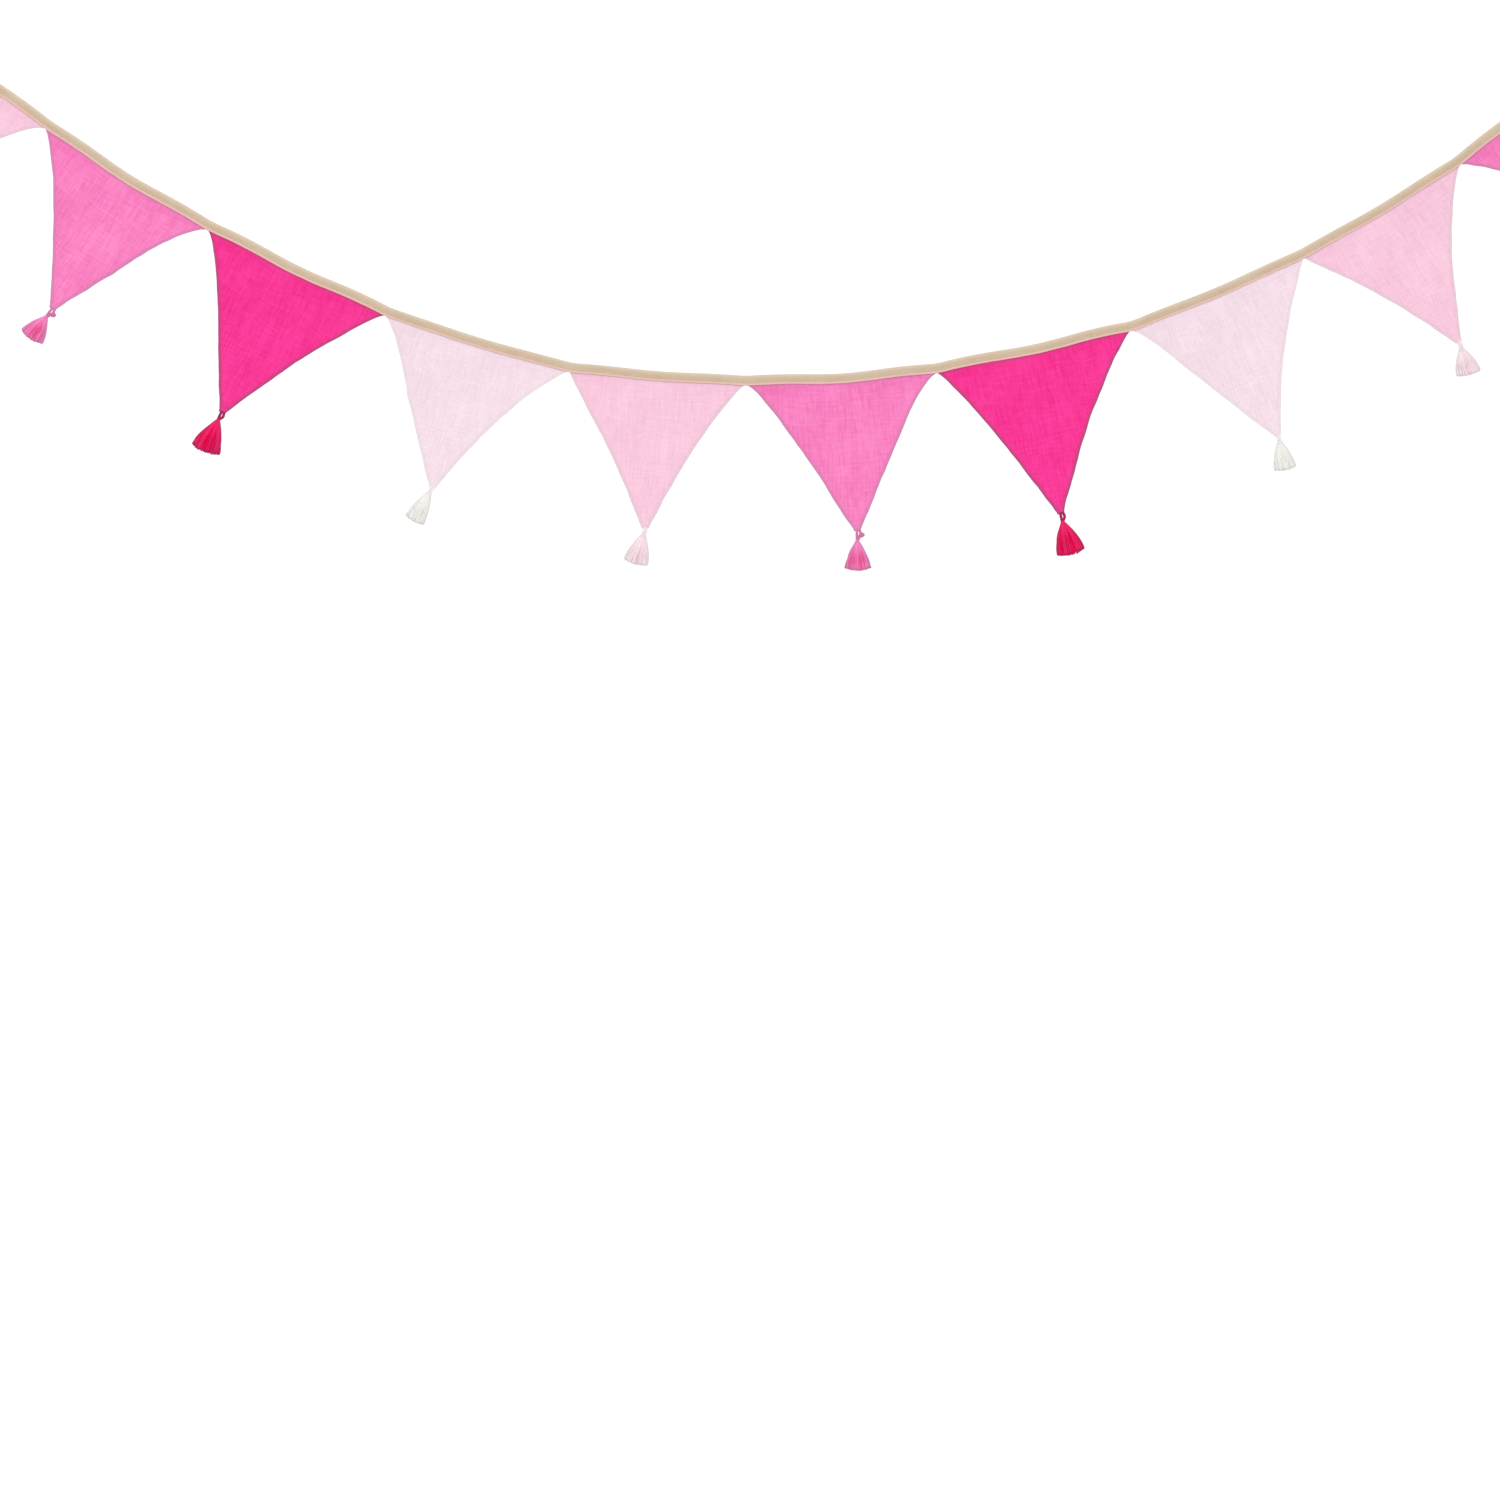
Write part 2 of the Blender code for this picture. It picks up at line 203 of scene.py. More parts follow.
# One row for each run of the binding, left to right. slope is in degrees below level, sag is the belly
# under the run's chord, ripple is how far it rises and dips along the chord besides, and depth is how far
# back the run's far end lies.
Run = namedtuple("Run", "length slope sag ripple depth")
RUNS = [
    Run(130, 43.0, 3.0, 0.0, 2.0),
    Run(188, 37.8, 2.0, 1.0, -2.0),
    Run(188, 31.9, 2.4, 1.0, 3.0),
    Run(199, 25.8, 1.1, 1.1, 0.5),
    Run(190, 16.9, 2.4, 0.3, -3.0),
    Run(173, 4.1, 1.3, 0.5, 1.0),
    Run(191, -3.8, 2.8, 1.0, 3.5),
    Run(199, -12.1, 0.9, 1.1, -1.0),
    Run(183, -23.0, 1.6, 0.5, 1.5),
    Run(179, -30.7, 1.8, 0.5, -2.5),
    Run(188, -39.8, 2.0, 1.0, 1.0),
    Run(130, -43.5, 3.0, 0.0, 0.0),
]
FIRST_FLAG_RUN = 1

# One row for each flag, left to right. left, right and tip are measured along its run from the run's start,
# drop down to the tip. bow_left and bow_right draw its sides in, wave_left and wave_right bend them to and
# fro. swing sends the tip back, curl_left and curl_right the side edges, and fold is the height of its folds.
Flag = namedtuple("Flag", "colour left right tip drop bow_left wave_left bow_right wave_right "
                          "swing curl_left curl_right fold")
FLAGS = [
    Flag("light_pink", 3.0, 186.0, 90.0, 160, 3.0, 0.0, 6.1, 2.4, 4, -3, 2, 1.5),
    Flag("mid_pink", -1.4, 186.2, 99.4, 159, 7.0, -0.4, 8.5, 1.0, -6, 3, -5, 1.8),
    Flag("hot_pink", 0.2, 195.2, 90.5, 168, 5.7, 0.2, 6.8, -1.2, 3, -2, 4, 1.4),
    Flag("pale_pink", -2.4, 187.1, 90.4, 160, 3.4, 1.8, 10.4, -1.4, 7, 3, -6, 1.8),
    Flag("light_pink", -2.3, 172.0, 83.8, 160, 2.0, -1.8, 7.2, -0.8, -4, -3, 3, 1.3),
    Flag("mid_pink", 1.6, 189.9, 101.2, 162, 6.7, 0.1, 7.2, 1.2, 6, 4, -4, 1.8),
    Flag("hot_pink", -0.5, 195.3, 89.4, 174, 5.3, -0.5, 7.9, -1.6, -7, -3, 4, 1.6),
    Flag("pale_pink", -1.9, 183.0, 91.4, 163, 3.4, 1.3, 7.6, -2.9, 4, 2, -6, 1.7),
    Flag("light_pink", 0.6, 179.9, 88.9, 161, 4.1, -1.9, 9.1, -1.1, -5, -4, 5, 1.5),
    Flag("mid_pink", 2.0, 185.0, 94.0, 161, 10.4, -1.5, 3.5, 0.0, 5, 4, -3, 1.6),
]

# One row for each tassel. lean is in degrees from straight down towards +X, length runs from the flag's tip
# to the ends of the threads, and width is across those ends.
Tassel = namedtuple("Tassel", "colour lean length width")
TASSELS = [
    Tassel("blush_thread", -26, 37.0, 24.0),
    Tassel("pink_thread", -36, 36.5, 24.5),
    Tassel("crimson_thread", -23, 43.0, 27.5),
    Tassel("white_thread", -29, 37.5, 20.0),
    Tassel("blush_thread", -16, 36.5, 24.0),
    Tassel("pink_thread", 1, 39.5, 25.0),
    Tassel("crimson_thread", 15, 42.0, 28.0),
    Tassel("white_thread", 12, 34.5, 21.5),
    Tassel("blush_thread", 17, 34.0, 24.0),
    Tassel("pink_thread", 27, 38.0, 25.0),
]

# How each colour's tassels are tied: half the loop's opening, where its strands meet and where the neck ends,
# both below the flag's tip, half the neck's width, how far the loop lies to the right of the tip, how soon
# the skirt bulges, the radius of the loop's cord and its share of the edge colour, how far stray threads
# leave the skirt, and whether a small knot lies beside the loop.
Tie = namedtuple("Tie", "opening meet neck half shift bulge cord edge stray knotted")
TIES = {
    "blush_thread": Tie(1.25, 5.8, 6.6, 2.6, 0.3, 1.7, 1.15, 0.5, 0.5, False),
    "pink_thread": Tie(1.8, 6.6, 9.4, 1.8, 1.3, 1.5, 1.3, 0.8, 1.3, True),
    "crimson_thread": Tie(1.8, 7.0, 7.8, 1.9, 1.4, 1.65, 1.45, 0.9, 1.3, False),
    "white_thread": Tie(1.25, 5.8, 6.4, 2.8, 0.2, 1.7, 1.15, 0.1, 0.5, False),
}

# How light a skirt's threads are in its middle, and what the way in from its outside, the streaks, each
# thread by itself, the skirt's sides, its top and its ends add. The way in adds painted shade on the inner
# threads, and the sides, the top and the ends add painted light. The reaches are shares of its length.
Tones = namedtuple("Tones", "middle inward streak thread side top top_reach end end_reach")
SKIRT_TONES = Tones(0.22, -0.3, 0.80, 0.15, 0.52, 0.60, 0.65, 0.35, 0.35)

# Radius of a skirt's threads at shares of the way down.
SWELL_SHARES = (0.0, 0.3, 1.0)
SWELL_RADII = (0.2, 0.36, 0.42)

# Balls of the knot beside a loop: distance across, forward and below the tip, and size.
Ball = namedtuple("Ball", "across forward below size")
KNOT = [Ball(3.2, 0.4, 3.4, 0.68), Ball(-0.2, 0.8, 6.8, 0.34)]

# Layers of threads in a skirt, outside to inside: their number, their most and least share of the full
# spread, and where down the skirt they begin to show.
Layer = namedtuple("Layer", "threads most least start")
LAYERS = [Layer(104, 1.0, 0.965, 0.0), Layer(64, 0.95, 0.91, 0.0), Layer(90, 0.84, 0.05, 0.8)]

# Sewing threads: radius, sides, how far a stitch lies off its place along the seam, and least and most tone.
Sewing = namedtuple("Sewing", "radius sides off dark light")
BINDING_SEWING = Sewing(0.24, 5, 0.12, 0.35, 0.65)
FLAG_SEWING = Sewing(0.19, 4, 0.1, 0.3, 0.7)

# How far a stitch rises from the cloth at shares of its length.
STITCH_SHARES = (0.0, 0.16, 0.5, 0.84, 1.0)
STITCH_RISES = (-0.30, 0.12, 0.20, 0.12, -0.30)

# Half thickness of a flag at distances from its side: the turned edge, the doubled seam allowance with the
# valley of the top-stitching in it, and then the cloth alone.
SEAM_INWARD = (0.0, 0.14, 0.45, 0.9, 1.6, 2.3, 2.7, 3.0, 3.3, 3.8, 4.6, 5.6)
SEAM_HALF = (0.0, 0.34, 0.50, 0.57, 0.60, 0.57, 0.50, 0.44, 0.49, 0.54, 0.52, 0.42)

# How far a flag's turned side strays from its line, and over what length.
Stray = namedtuple("Stray", "length height")
SIDE_STRAYS = [Stray(16.0, 0.65), Stray(6.5, 0.35)]

# Layers of the gauze's crinkles: size of one pucker across and down the flag, its height, and whether its
# crests are drawn out to sharp lines. Skin layers push the flag's two faces apart, the others move both.
Crinkle = namedtuple("Crinkle", "across down height sharp skin")
CRINKLES = [
    Crinkle(4.6, 18.0, 0.24, True, False),
    Crinkle(2.7, 9.0, 0.12, False, False),
    Crinkle(8.5, 34.0, 0.30, False, False),
    Crinkle(14.0, 5.5, 0.07, False, False),
    Crinkle(3.3, 10.0, 0.08, True, True),
]

# Layers of the binding's puckers between its stitches: size along and down it, height, and seed.
Pucker = namedtuple("Pucker", "along down height seed")
PUCKERS = [Pucker(3.4, 5.0, 0.054, 71), Pucker(17.0, 9.0, 0.072, 73)]

# The binding's face from its fold to its lower edge: distance below the top, outwards from the middle of its
# leaf, and tone as painted light and shade, lighter near the fold and on the turned lower edge, darker in the
# valley. The stitches lie in the valley above the turned lower edge.
FACE_BELOW = (3.0, 4.2, 5.4, 6.2, 6.8, 7.15, 7.4, 7.7, 8.2, 8.8, 9.4, 9.85, 10.0)
FACE_OUT = (0.48, 0.54, 0.56, 0.54, 0.48, 0.41, 0.36, 0.43, 0.58, 0.64, 0.56, 0.32, 0.0)
FACE_PAINTED_SHADING = (0.15, 0.0, -0.1, -0.1, -0.1, -0.15, -0.2, -0.05, 0.05, 0.1, 0.2, 0.3, 0.3)
INSIDE_BELOW = (9.7, 8.0, 6.0, 4.0)

# Colours as 8-bit sRGB: a light and a deep colour, which the cloth's texture and painted light and shade
# blend,
# and an edge colour: painted shade along a flag's turned sides, right under the binding and on a skirt's
# sides, a painted highlight along the binding's lower edge, and the colour at the cut ends of threads.
Dye = namedtuple("Dye", "light deep edge")
DYES = {
    "beige_twill": Dye((227, 209, 186), (185, 157, 126), (238, 196, 185)),
    "light_pink": Dye((253, 209, 228), (241, 188, 212), (230, 202, 215)),
    "mid_pink": Dye((255, 146, 205), (240, 107, 177), (208, 134, 178)),
    "hot_pink": Dye((255, 67, 164), (239, 31, 132), (180, 74, 124)),
    "pale_pink": Dye((251, 229, 239), (237, 212, 224), (237, 221, 229)),
    "blush_thread": Dye((250, 235, 240), (247, 217, 224), (246, 237, 239)),
    "pink_thread": Dye((248, 154, 207), (240, 80, 152), (210, 128, 174)),
    "crimson_thread": Dye((246, 50, 122), (237, 0, 84), (165, 40, 98)),
    "white_thread": Dye((248, 245, 242), (240, 237, 232), (242, 241, 239)),
}

# Studio, in metres: the camera's middle ray and how far off it stands, and the soft lamps.
SENSOR = 36.0
PHOTO_WIDTH = 1.5
CAMERA_DISTANCE = 3.5
VIEW_CENTRE = (0.941, -0.8317)
GARLAND_MIDDLE = (0.94, 0.0, -0.35)
FLOOR_LEVEL = -4.0
FLOOR_REACH = 60.0
FLOOR_BACK = 10.5  # just short of where the camera would see it
FLOOR_COLOUR = (0.94, 0.94, 0.94, 1.0)
AMBIENT = 0.685
SEEN_WHITE = 1.05
Lamp = namedtuple("Lamp", "name place size energy")
LAMPS = [
    Lamp("key", (-0.6, -2.6, 1.6), 2.0, 36.0),
    Lamp("fill", (2.8, -2.8, 0.4), 2.2, 16.0),
    Lamp("low", (1.2, -2.2, -1.9), 2.0, 11.0),
    Lamp("back", (1.4, 2.9, 0.6), 2.2, 18.0),
]


def ease(share):
    """Smooth step from 0 to 1."""
    share = np.clip(share, 0.0, 1.0)
    return share * share * (3 - 2 * share)


def mix(first, second, share):
    """Value a share of the way from first to second."""
    return first + (second - first) * share


def unit(vectors):
    """Vectors of length 1, along the last axis."""
    return vectors / np.maximum(np.linalg.norm(vectors, axis=-1, keepdims=True), 1e-9)


def spread(*values):
    """Arrays spread to one shape and laid side by side along a new last axis."""
    return np.stack(np.broadcast_arrays(*values), axis=-1)


def noise(across, down, seed):
    """Smooth noise from -1 to 1 over cells of size 1."""
    lattice = np.random.default_rng(seed).uniform(-1, 1, (LATTICE, LATTICE))
    column, row = np.floor(across).astype(int), np.floor(down).astype(int)
    right, lower = ease(across - column), ease(down - row)
    here, after = column % LATTICE, (column + 1) % LATTICE
    above, beneath = row % LATTICE, (row + 1) % LATTICE
    upper_edge = mix(lattice[here, above], lattice[after, above], right)
    lower_edge = mix(lattice[here, beneath], lattice[after, beneath], right)
    return mix(upper_edge, lower_edge, lower)


def travelled(points):
    """Distance travelled at each point of one or more paths."""
    steps = np.diff(points, axis=-2, prepend=points[..., :1, :])
    return np.cumsum(np.linalg.norm(steps, axis=-1), axis=-1)


def between(places, distances, rows):
    """Rows of three numbers at places along a line, from those at given distances along it."""
    return spread(*(np.interp(places, distances, column) for column in rows.T))


def resampled(points, steps):
    """The same line with that many points, evenly spaced."""
    distances = travelled(points)
    return between(np.linspace(0, distances[-1], steps), distances, points)


def through(points, steps):
    """A smooth path of that many steps through the points, evenly spaced."""
    points = np.array(points, float)
    padded = np.concatenate((2 * points[:1] - points[1:2], points, 2 * points[-1:] - points[-2:-1]))
    share = np.linspace(0, 1, SPLINE_STEPS, endpoint=False)[:, None]
    fine = []
    for before, start, end, after in zip(padded, padded[1:], padded[2:], padded[3:]):
        fine.append(0.5 * (2 * start + (end - before) * share
                           + (2 * before - 5 * start + 4 * end - after) * share ** 2
                           + (3 * start - before - 3 * end + after) * share ** 3))
    return resampled(np.concatenate(fine + [points[-1:]]), steps)


def run_axes(index):
    """Directions along a run's chord and down from it."""
    slope = math.radians(RUNS[index].slope)
    along = np.array((math.cos(slope), 0.0, -math.sin(slope)))
    down = np.array((-math.sin(slope), 0.0, -math.cos(slope)))
    return along, down


def run_starts():
    """Start of each run's chord, and the end of the last, from the origin at the left end."""
    points = [np.zeros(3)]
    for index, run in enumerate(RUNS):
        points.append(points[-1] + run_axes(index)[0] * run.length)
    return points


STARTS = run_starts()


def run_depth(index, share):
    """How far back the binding lies, a share of the way along a run."""
    start = RUNS[index - 1].depth if index else 0.0
    return mix(start, RUNS[index].depth, ease(share))


def run_belly(index, share):
    """How far the binding lies under its run's chord."""
    run = RUNS[index]
    return 4 * run.sag * share * (1 - share) - run.ripple * np.sin(3 * math.pi * share)


def run_points(index, along, back, below):
    """Points of the garland from places in a run's own axes."""
    along_axis, down_axis = run_axes(index)
    points = STARTS[index] + np.multiply.outer(along, along_axis) + np.multiply.outer(below, down_axis)
    points[..., 1] += back
    return points


def grid_faces(rows, columns):
    """Quads of a grid of points stored row by row, each row's end joined to its start."""
    row, column = np.meshgrid(np.arange(rows - 1), np.arange(columns), indexing="ij")
    corner, following = row * columns + column, row * columns + (column + 1) % columns
    return spread(corner, following, following + columns, corner + columns).reshape(-1, 4)


def placed(name, data):
    """A new object in the scene."""
    item = bpy.data.objects.new(name, data)
    bpy.context.collection.objects.link(item)
    return item


class Pile:
    """Parts of one mesh, with each point's place on the cloth, its tone and its share of the edge colour."""

    def __init__(self):
        self.points, self.faces, self.cloth, self.tone, self.edge = [], [], [], [], []
        self.count = 0

    def add(self, points, faces, cloth, tone, edge=0.0):
        """Add one part. Each item of faces is an array of faces with one number of corners."""
        shape = points.shape[:-1]
        self.points.append(points.reshape(-1, 3))
        self.cloth.append(cloth.reshape(-1, 3))
        self.tone.append(np.broadcast_to(tone, shape).ravel())
        self.edge.append(np.broadcast_to(edge, shape).ravel())
        self.faces += [group + self.count for group in faces]
        self.count += len(self.points[-1])

    def piece(self, name, material):
        """Make the object, in metres, smooth and riding on the part's only body."""
        faces = [face for group in self.faces for face in group.tolist()]
        mesh = bpy.data.meshes.new(name)
        mesh.from_pydata((np.concatenate(self.points) * MM).tolist(), [], faces)
        attributes = (("cloth", "FLOAT_VECTOR", "vector", self.cloth), ("tone", "FLOAT", "value", self.tone),
                      ("edge", "FLOAT", "value", self.edge))
        for attribute, kind, key, values in attributes:
            made = mesh.attributes.new(attribute, kind, "POINT")
            made.data.foreach_set(key, np.concatenate(values).astype(np.float32).ravel())
        mesh.materials.append(material)
        mesh.shade_smooth()
        item = placed(name, mesh)
        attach(item, "root")
        return item


def carried_axes(paths):
    """Side and upward directions along many paths at once, carried on without twisting."""
    tangents = unit(np.gradient(paths, axis=1))
    least = np.argmin(np.abs(tangents[:, 0]), axis=-1)
    side = unit(np.cross(tangents[:, 0], np.eye(3)[least]))
    sides = np.empty_like(paths)
    for step in range(paths.shape[1]):
        tangent = tangents[:, step]
        side = unit(side - tangent * np.sum(side * tangent, axis=-1, keepdims=True))
        sides[:, step] = side
    return sides, np.cross(tangents, sides)


def add_tubes(pile, paths, radii, sides, tone, edge=0.0):
    """Add a closed tube round each path. radii, tone and edge spread over the paths and their steps."""
    count, steps = paths.shape[:2]
    side, up = carried_axes(paths)
    angles = TURN * np.arange(sides) / sides
    ring = np.cos(angles)[:, None] * side[:, :, None] + np.sin(angles)[:, None] * up[:, :, None]
    shape = (count, steps)
    radii, tone, edge = (np.broadcast_to(values, shape)[..., None] for values in (radii, tone, edge))
    points = paths[:, :, None] + ring * radii[..., None]
    cloth = np.zeros(points.shape)
    cloth[..., 0] = travelled(paths)[..., None]
    cloth[..., 1] = np.arange(sides) / sides
    cloth[..., 2] = THREAD_SHIFT * np.arange(count)[:, None, None]
    starts = np.arange(count)[:, None, None] * steps * sides
    rim = np.arange(sides)
    walls = grid_faces(steps, sides) + starts
    caps = np.stack((rim[::-1], (steps - 1) * sides + rim)) + starts
    pile.add(points, [walls.reshape(-1, 4), caps.reshape(-1, sides)], cloth, tone, edge)


def add_plied(pile, path, radius, edge):
    """Add one cord of two threads twisted round each other."""
    side, up = (axes[0] for axes in carried_axes(path[None]))
    for ply in range(2):
        angle = (TURN * (travelled(path) / CORD_PITCH + ply / 2))[:, None]
        strand = path + (np.cos(angle) * side + np.sin(angle) * up) * radius * PLY_OFFSET
        add_tubes(pile, strand[None], radius * PLY_RADIUS, PLY_SIDES, LOOP_TONE, edge)


def add_stitches(pile, start, end, facing, sewing, tone):
    """Add arched stitches from start to end points, sunk into the cloth at both ends."""
    paths = start[:, None] + (end - start)[:, None] * np.array(STITCH_SHARES)[:, None]
    paths[..., 1] += facing * np.array(STITCH_RISES)
    add_tubes(pile, paths, sewing.radius, sewing.sides, tone)


def linear(colour):
    """Turn an 8-bit sRGB colour into Blender's linear values."""
    channels = [channel / 255 for channel in colour]
    values = [c / 12.92 if c <= 0.04045 else ((c + 0.055) / 1.055) ** 2.4 for c in channels]
    return (*values, 1.0)


class Look:
    """A material under construction, with short calls that add linked nodes."""

    def __init__(self, name):
        self.material = bpy.data.materials.new(name)
        self.material.use_nodes = True
        self.tree = self.material.node_tree
        self.shader = self.tree.nodes["Principled BSDF"]

    def feed(self, node, inputs):
        """Link a node's inputs to sockets, or set their values."""
        for key, source in inputs.items():
            if isinstance(source, bpy.types.NodeSocket):
                self.tree.links.new(source, node.inputs[key])
            else:
                node.inputs[key].default_value = source

    def node(self, kind, inputs, **settings):
        """A new node with these inputs and settings."""
        made = self.tree.nodes.new("ShaderNode" + kind)
        for key, value in settings.items():
            setattr(made, key, value)
        self.feed(made, inputs)
        return made

    def sum(self, operation, first, second=0.0):
        """The result of one sum of two numbers."""
        return self.node("Math", {0: first, 1: second}, operation=operation).outputs[0]

    def weighted(self, *terms):
        """Sum of (value, weight) pairs."""
        total = 0.0
        for value, weight in terms:
            total = self.node("Math", {0: value, 1: weight, 2: total}, operation="MULTIPLY_ADD").outputs[0]
        return total

    def attribute(self, name, output):
        """One of the mesh's own attributes."""
        return self.node("Attribute", {}, attribute_name=name).outputs[output]

    def cloth_place(self):
        """The place on the cloth, and its parts along X and Y."""
        place = self.attribute("cloth", "Vector")
        axes = self.node("SeparateXYZ", {0: place})
        return place, axes.outputs["X"], axes.outputs["Y"]

    def cloud(self, place, scale, detail=2.0):
        """Noise from 0 to 1, with scale cells in each millimetre along the three axes."""
        made = self.node("TexNoise", {"Scale": 1.0, "Detail": detail}, noise_dimensions="3D")
        scaled = self.node("VectorMath", {0: place, 1: scale}, operation="MULTIPLY")
        self.feed(made, {"Vector": scaled.outputs[0]})
        return made.outputs["Fac"]

    def line(self, value, width):
        """1 along the thin lines where a noise crosses its middle, 0 between them."""
        off = self.sum("ABSOLUTE", self.sum("SUBTRACT", value, 0.5))
        return self.sum("MAXIMUM", self.weighted((off, -1 / width), (1.0, 1.0)), 0.0)

    def wave(self, value, pitch):
        """Ridges from -1 to 1 with that pitch."""
        return self.sum("SINE", self.sum("MULTIPLY", value, TURN / pitch))

    def blend(self, first, second, share):
        """A colour between two, each a socket or 8-bit sRGB."""
        made = self.node("Mix", {"Factor": share}, data_type="RGBA", clamp_factor=True)
        places = [place for place, socket in enumerate(made.inputs) if socket.type == "RGBA"]
        colours = [linear(colour) if isinstance(colour, tuple) else colour for colour in (first, second)]
        self.feed(made, dict(zip(places, colours)))
        return [socket for socket in made.outputs if socket.type == "RGBA"][0]

    def finish(self, dye, share, height, roughness, gloss):
        """Join the dye's colours by share, and add the height in millimetres and the gloss."""
        cloth = self.blend(dye.deep, dye.light, share)
        colour = self.blend(cloth, dye.edge, self.attribute("edge", "Fac"))
        bump = self.node("Bump", {"Strength": 1.0, "Distance": MM, "Height": height})
        self.feed(self.shader, {
            "Base Color": colour, "Normal": bump.outputs["Normal"], "Roughness": roughness,
            "Sheen Weight": gloss.sheen, "Sheen Roughness": SHEEN_ROUGHNESS,
            "Specular IOR Level": gloss.specular,
        })
        return self.material


def gauze(name, dye):
    """Open plain weave that crinkles in fine lines down the flag."""
    look = Look(name)
    place, across, down = look.cloth_place()
    wander = look.sum("MULTIPLY", look.cloud(place, (0.12, 0.12, 0.12)), 0.9)
    warp = look.wave(look.sum("ADD", across, wander), WARP_PITCH)
    weft = look.wave(look.sum("ADD", down, wander), WEFT_PITCH)
    weave = look.sum("MAXIMUM", warp, weft)
    strokes = look.cloud(place, (0.45, 0.07, 0.2))
    slubs = look.cloud(place, (0.06, 0.4, 0.2))
    creases = look.line(look.cloud(place, (0.25, 0.018, 0.2), 1.0), CREASE_WIDTH)
    mottle = look.cloud(place, (0.02, 0.02, 0.1), 1.0)
    # tone: painted light on the crinkles' crests, painted shade in their hollows and at the top corners
    painted_crinkle_shading = look.attribute("tone", "Fac")
    # the creases' negative share is painted shade in them
    share = look.weighted((strokes, 0.75), (slubs, 0.85), (creases, -0.25), (mottle, 0.75), (weave, 0.08),
                          (painted_crinkle_shading, 0.20), (1.0, -0.62))
    height = look.weighted((weave, 0.03), (strokes, 0.60), (slubs, 0.70), (creases, -0.12))
    roughness = look.weighted((strokes, 0.12), (weave, 0.03), (1.0, 0.82))
    return look.finish(dye, share, height, roughness, CLOTH_GLOSS)


def twill(name, dye):
    """Close diagonal ribs, a little slubby."""
    look = Look(name)
    place, along, down = look.cloth_place()
    drift = look.sum("MULTIPLY", look.cloud(place, (0.1, 0.25, 0.2)), 1.2)
    rising = look.sum("ADD", look.sum("ADD", along, down), drift)
    falling = look.sum("SUBTRACT", along, down)
    ribs = look.wave(rising, RIB_PITCH)
    yarns = look.wave(falling, YARN_PITCH)
    slubs = look.cloud(place, (0.9, 0.28, 0.2), 3.0)
    shade = look.cloud(place, (0.03, 0.12, 0.1))
    # tone: painted highlight on the fold, the puckers' crests and the turned lower edge, painted shade in the
    # stitches' valley
    painted_fold_shading = look.attribute("tone", "Fac")
    share = look.weighted((ribs, 0.10), (yarns, 0.04), (slubs, 0.4), (shade, 0.3), (painted_fold_shading, 0.5), (1.0, 0.15))
    height = look.weighted((ribs, 0.045), (yarns, 0.018), (slubs, 0.06))
    roughness = look.weighted((slubs, 0.15), (ribs, 0.03), (1.0, 0.72))
    return look.finish(dye, share, height, roughness, CLOTH_GLOSS)


def thread(name, dye):
    """Soft twisted thread; tone says how light each one is, partly at random and, in a skirt, partly as
    painted light and shade.
    """
    look = Look(name)
    place, along, round_it = look.cloth_place()
    turned = look.sum("MULTIPLY", round_it, 1.4)
    twist = look.wave(look.sum("ADD", along, turned), TWIST_PITCH)
    fibres = look.cloud(place, (0.8, 9.0, 1.0), 3.0)
    share = look.weighted((fibres, 0.5), (twist, 0.06), (look.attribute("tone", "Fac"), 1.0), (1.0, -0.2))
    height = look.weighted((twist, 0.012), (fibres, 0.015))
    roughness = look.weighted((fibres, 0.2), (1.0, 0.55))
    return look.finish(dye, share, height, roughness, THREAD_GLOSS)


def binding_line():
    """The binding's top line at even steps, and from there to the middles of its leaves."""
    points, halves = [], []
    for index, run in enumerate(RUNS):
        share = np.linspace(0, 1, run.length, endpoint=False)
        points.append(run_points(index, share * run.length, run_depth(index, share), run_belly(index, share)))
        past_flags = np.zeros(len(share))
        if index == 0:
            past_flags = run.length * (1 - share)
        elif index == len(RUNS) - 1:
            past_flags = run.length * share
        halves.append(mix(HELD_HALF, CLOSED_HALF, ease(past_flags / CLOSING_LENGTH)))
    points, halves = np.concatenate(points + [STARTS[-1][None]]), np.concatenate(halves + [[CLOSED_HALF]])
    steps = 1 + int(len(points) / STATION_PITCH)
    halves = np.interp(np.linspace(0, 1, steps), np.linspace(0, 1, len(halves)), halves)
    points = resampled(points, steps)
    kernel = np.ones(LINE_SMOOTHING) / LINE_SMOOTHING
    reach = LINE_SMOOTHING // 2
    for axis in range(3):
        points[reach:-reach, axis] = np.convolve(points[:, axis], kernel, "valid")
    return points, halves


class Binding:
    """The line of the binding with its axes, for the strip and the stitches on it."""

    def __init__(self):
        self.points, self.halves = binding_line()
        self.distances = travelled(self.points)
        self.length = self.distances[-1]
        along = unit(np.gradient(self.points, axis=0))
        self.down = unit(spread(along[:, 2], 0.0, -along[:, 0]))

    def at(self, place, back, below):
        """Points at distances along the binding, back from its middle and below its top."""
        down = between(place, self.distances, self.down)
        points = between(place, self.distances, self.points) + down * below[..., None]
        points[..., 1] += back
        return points

    def on_leaf(self, place, facing, out, below):
        """Points out from the middle of the front or back leaf."""
        return self.at(place, facing * (np.interp(place, self.distances, self.halves) + out), below)


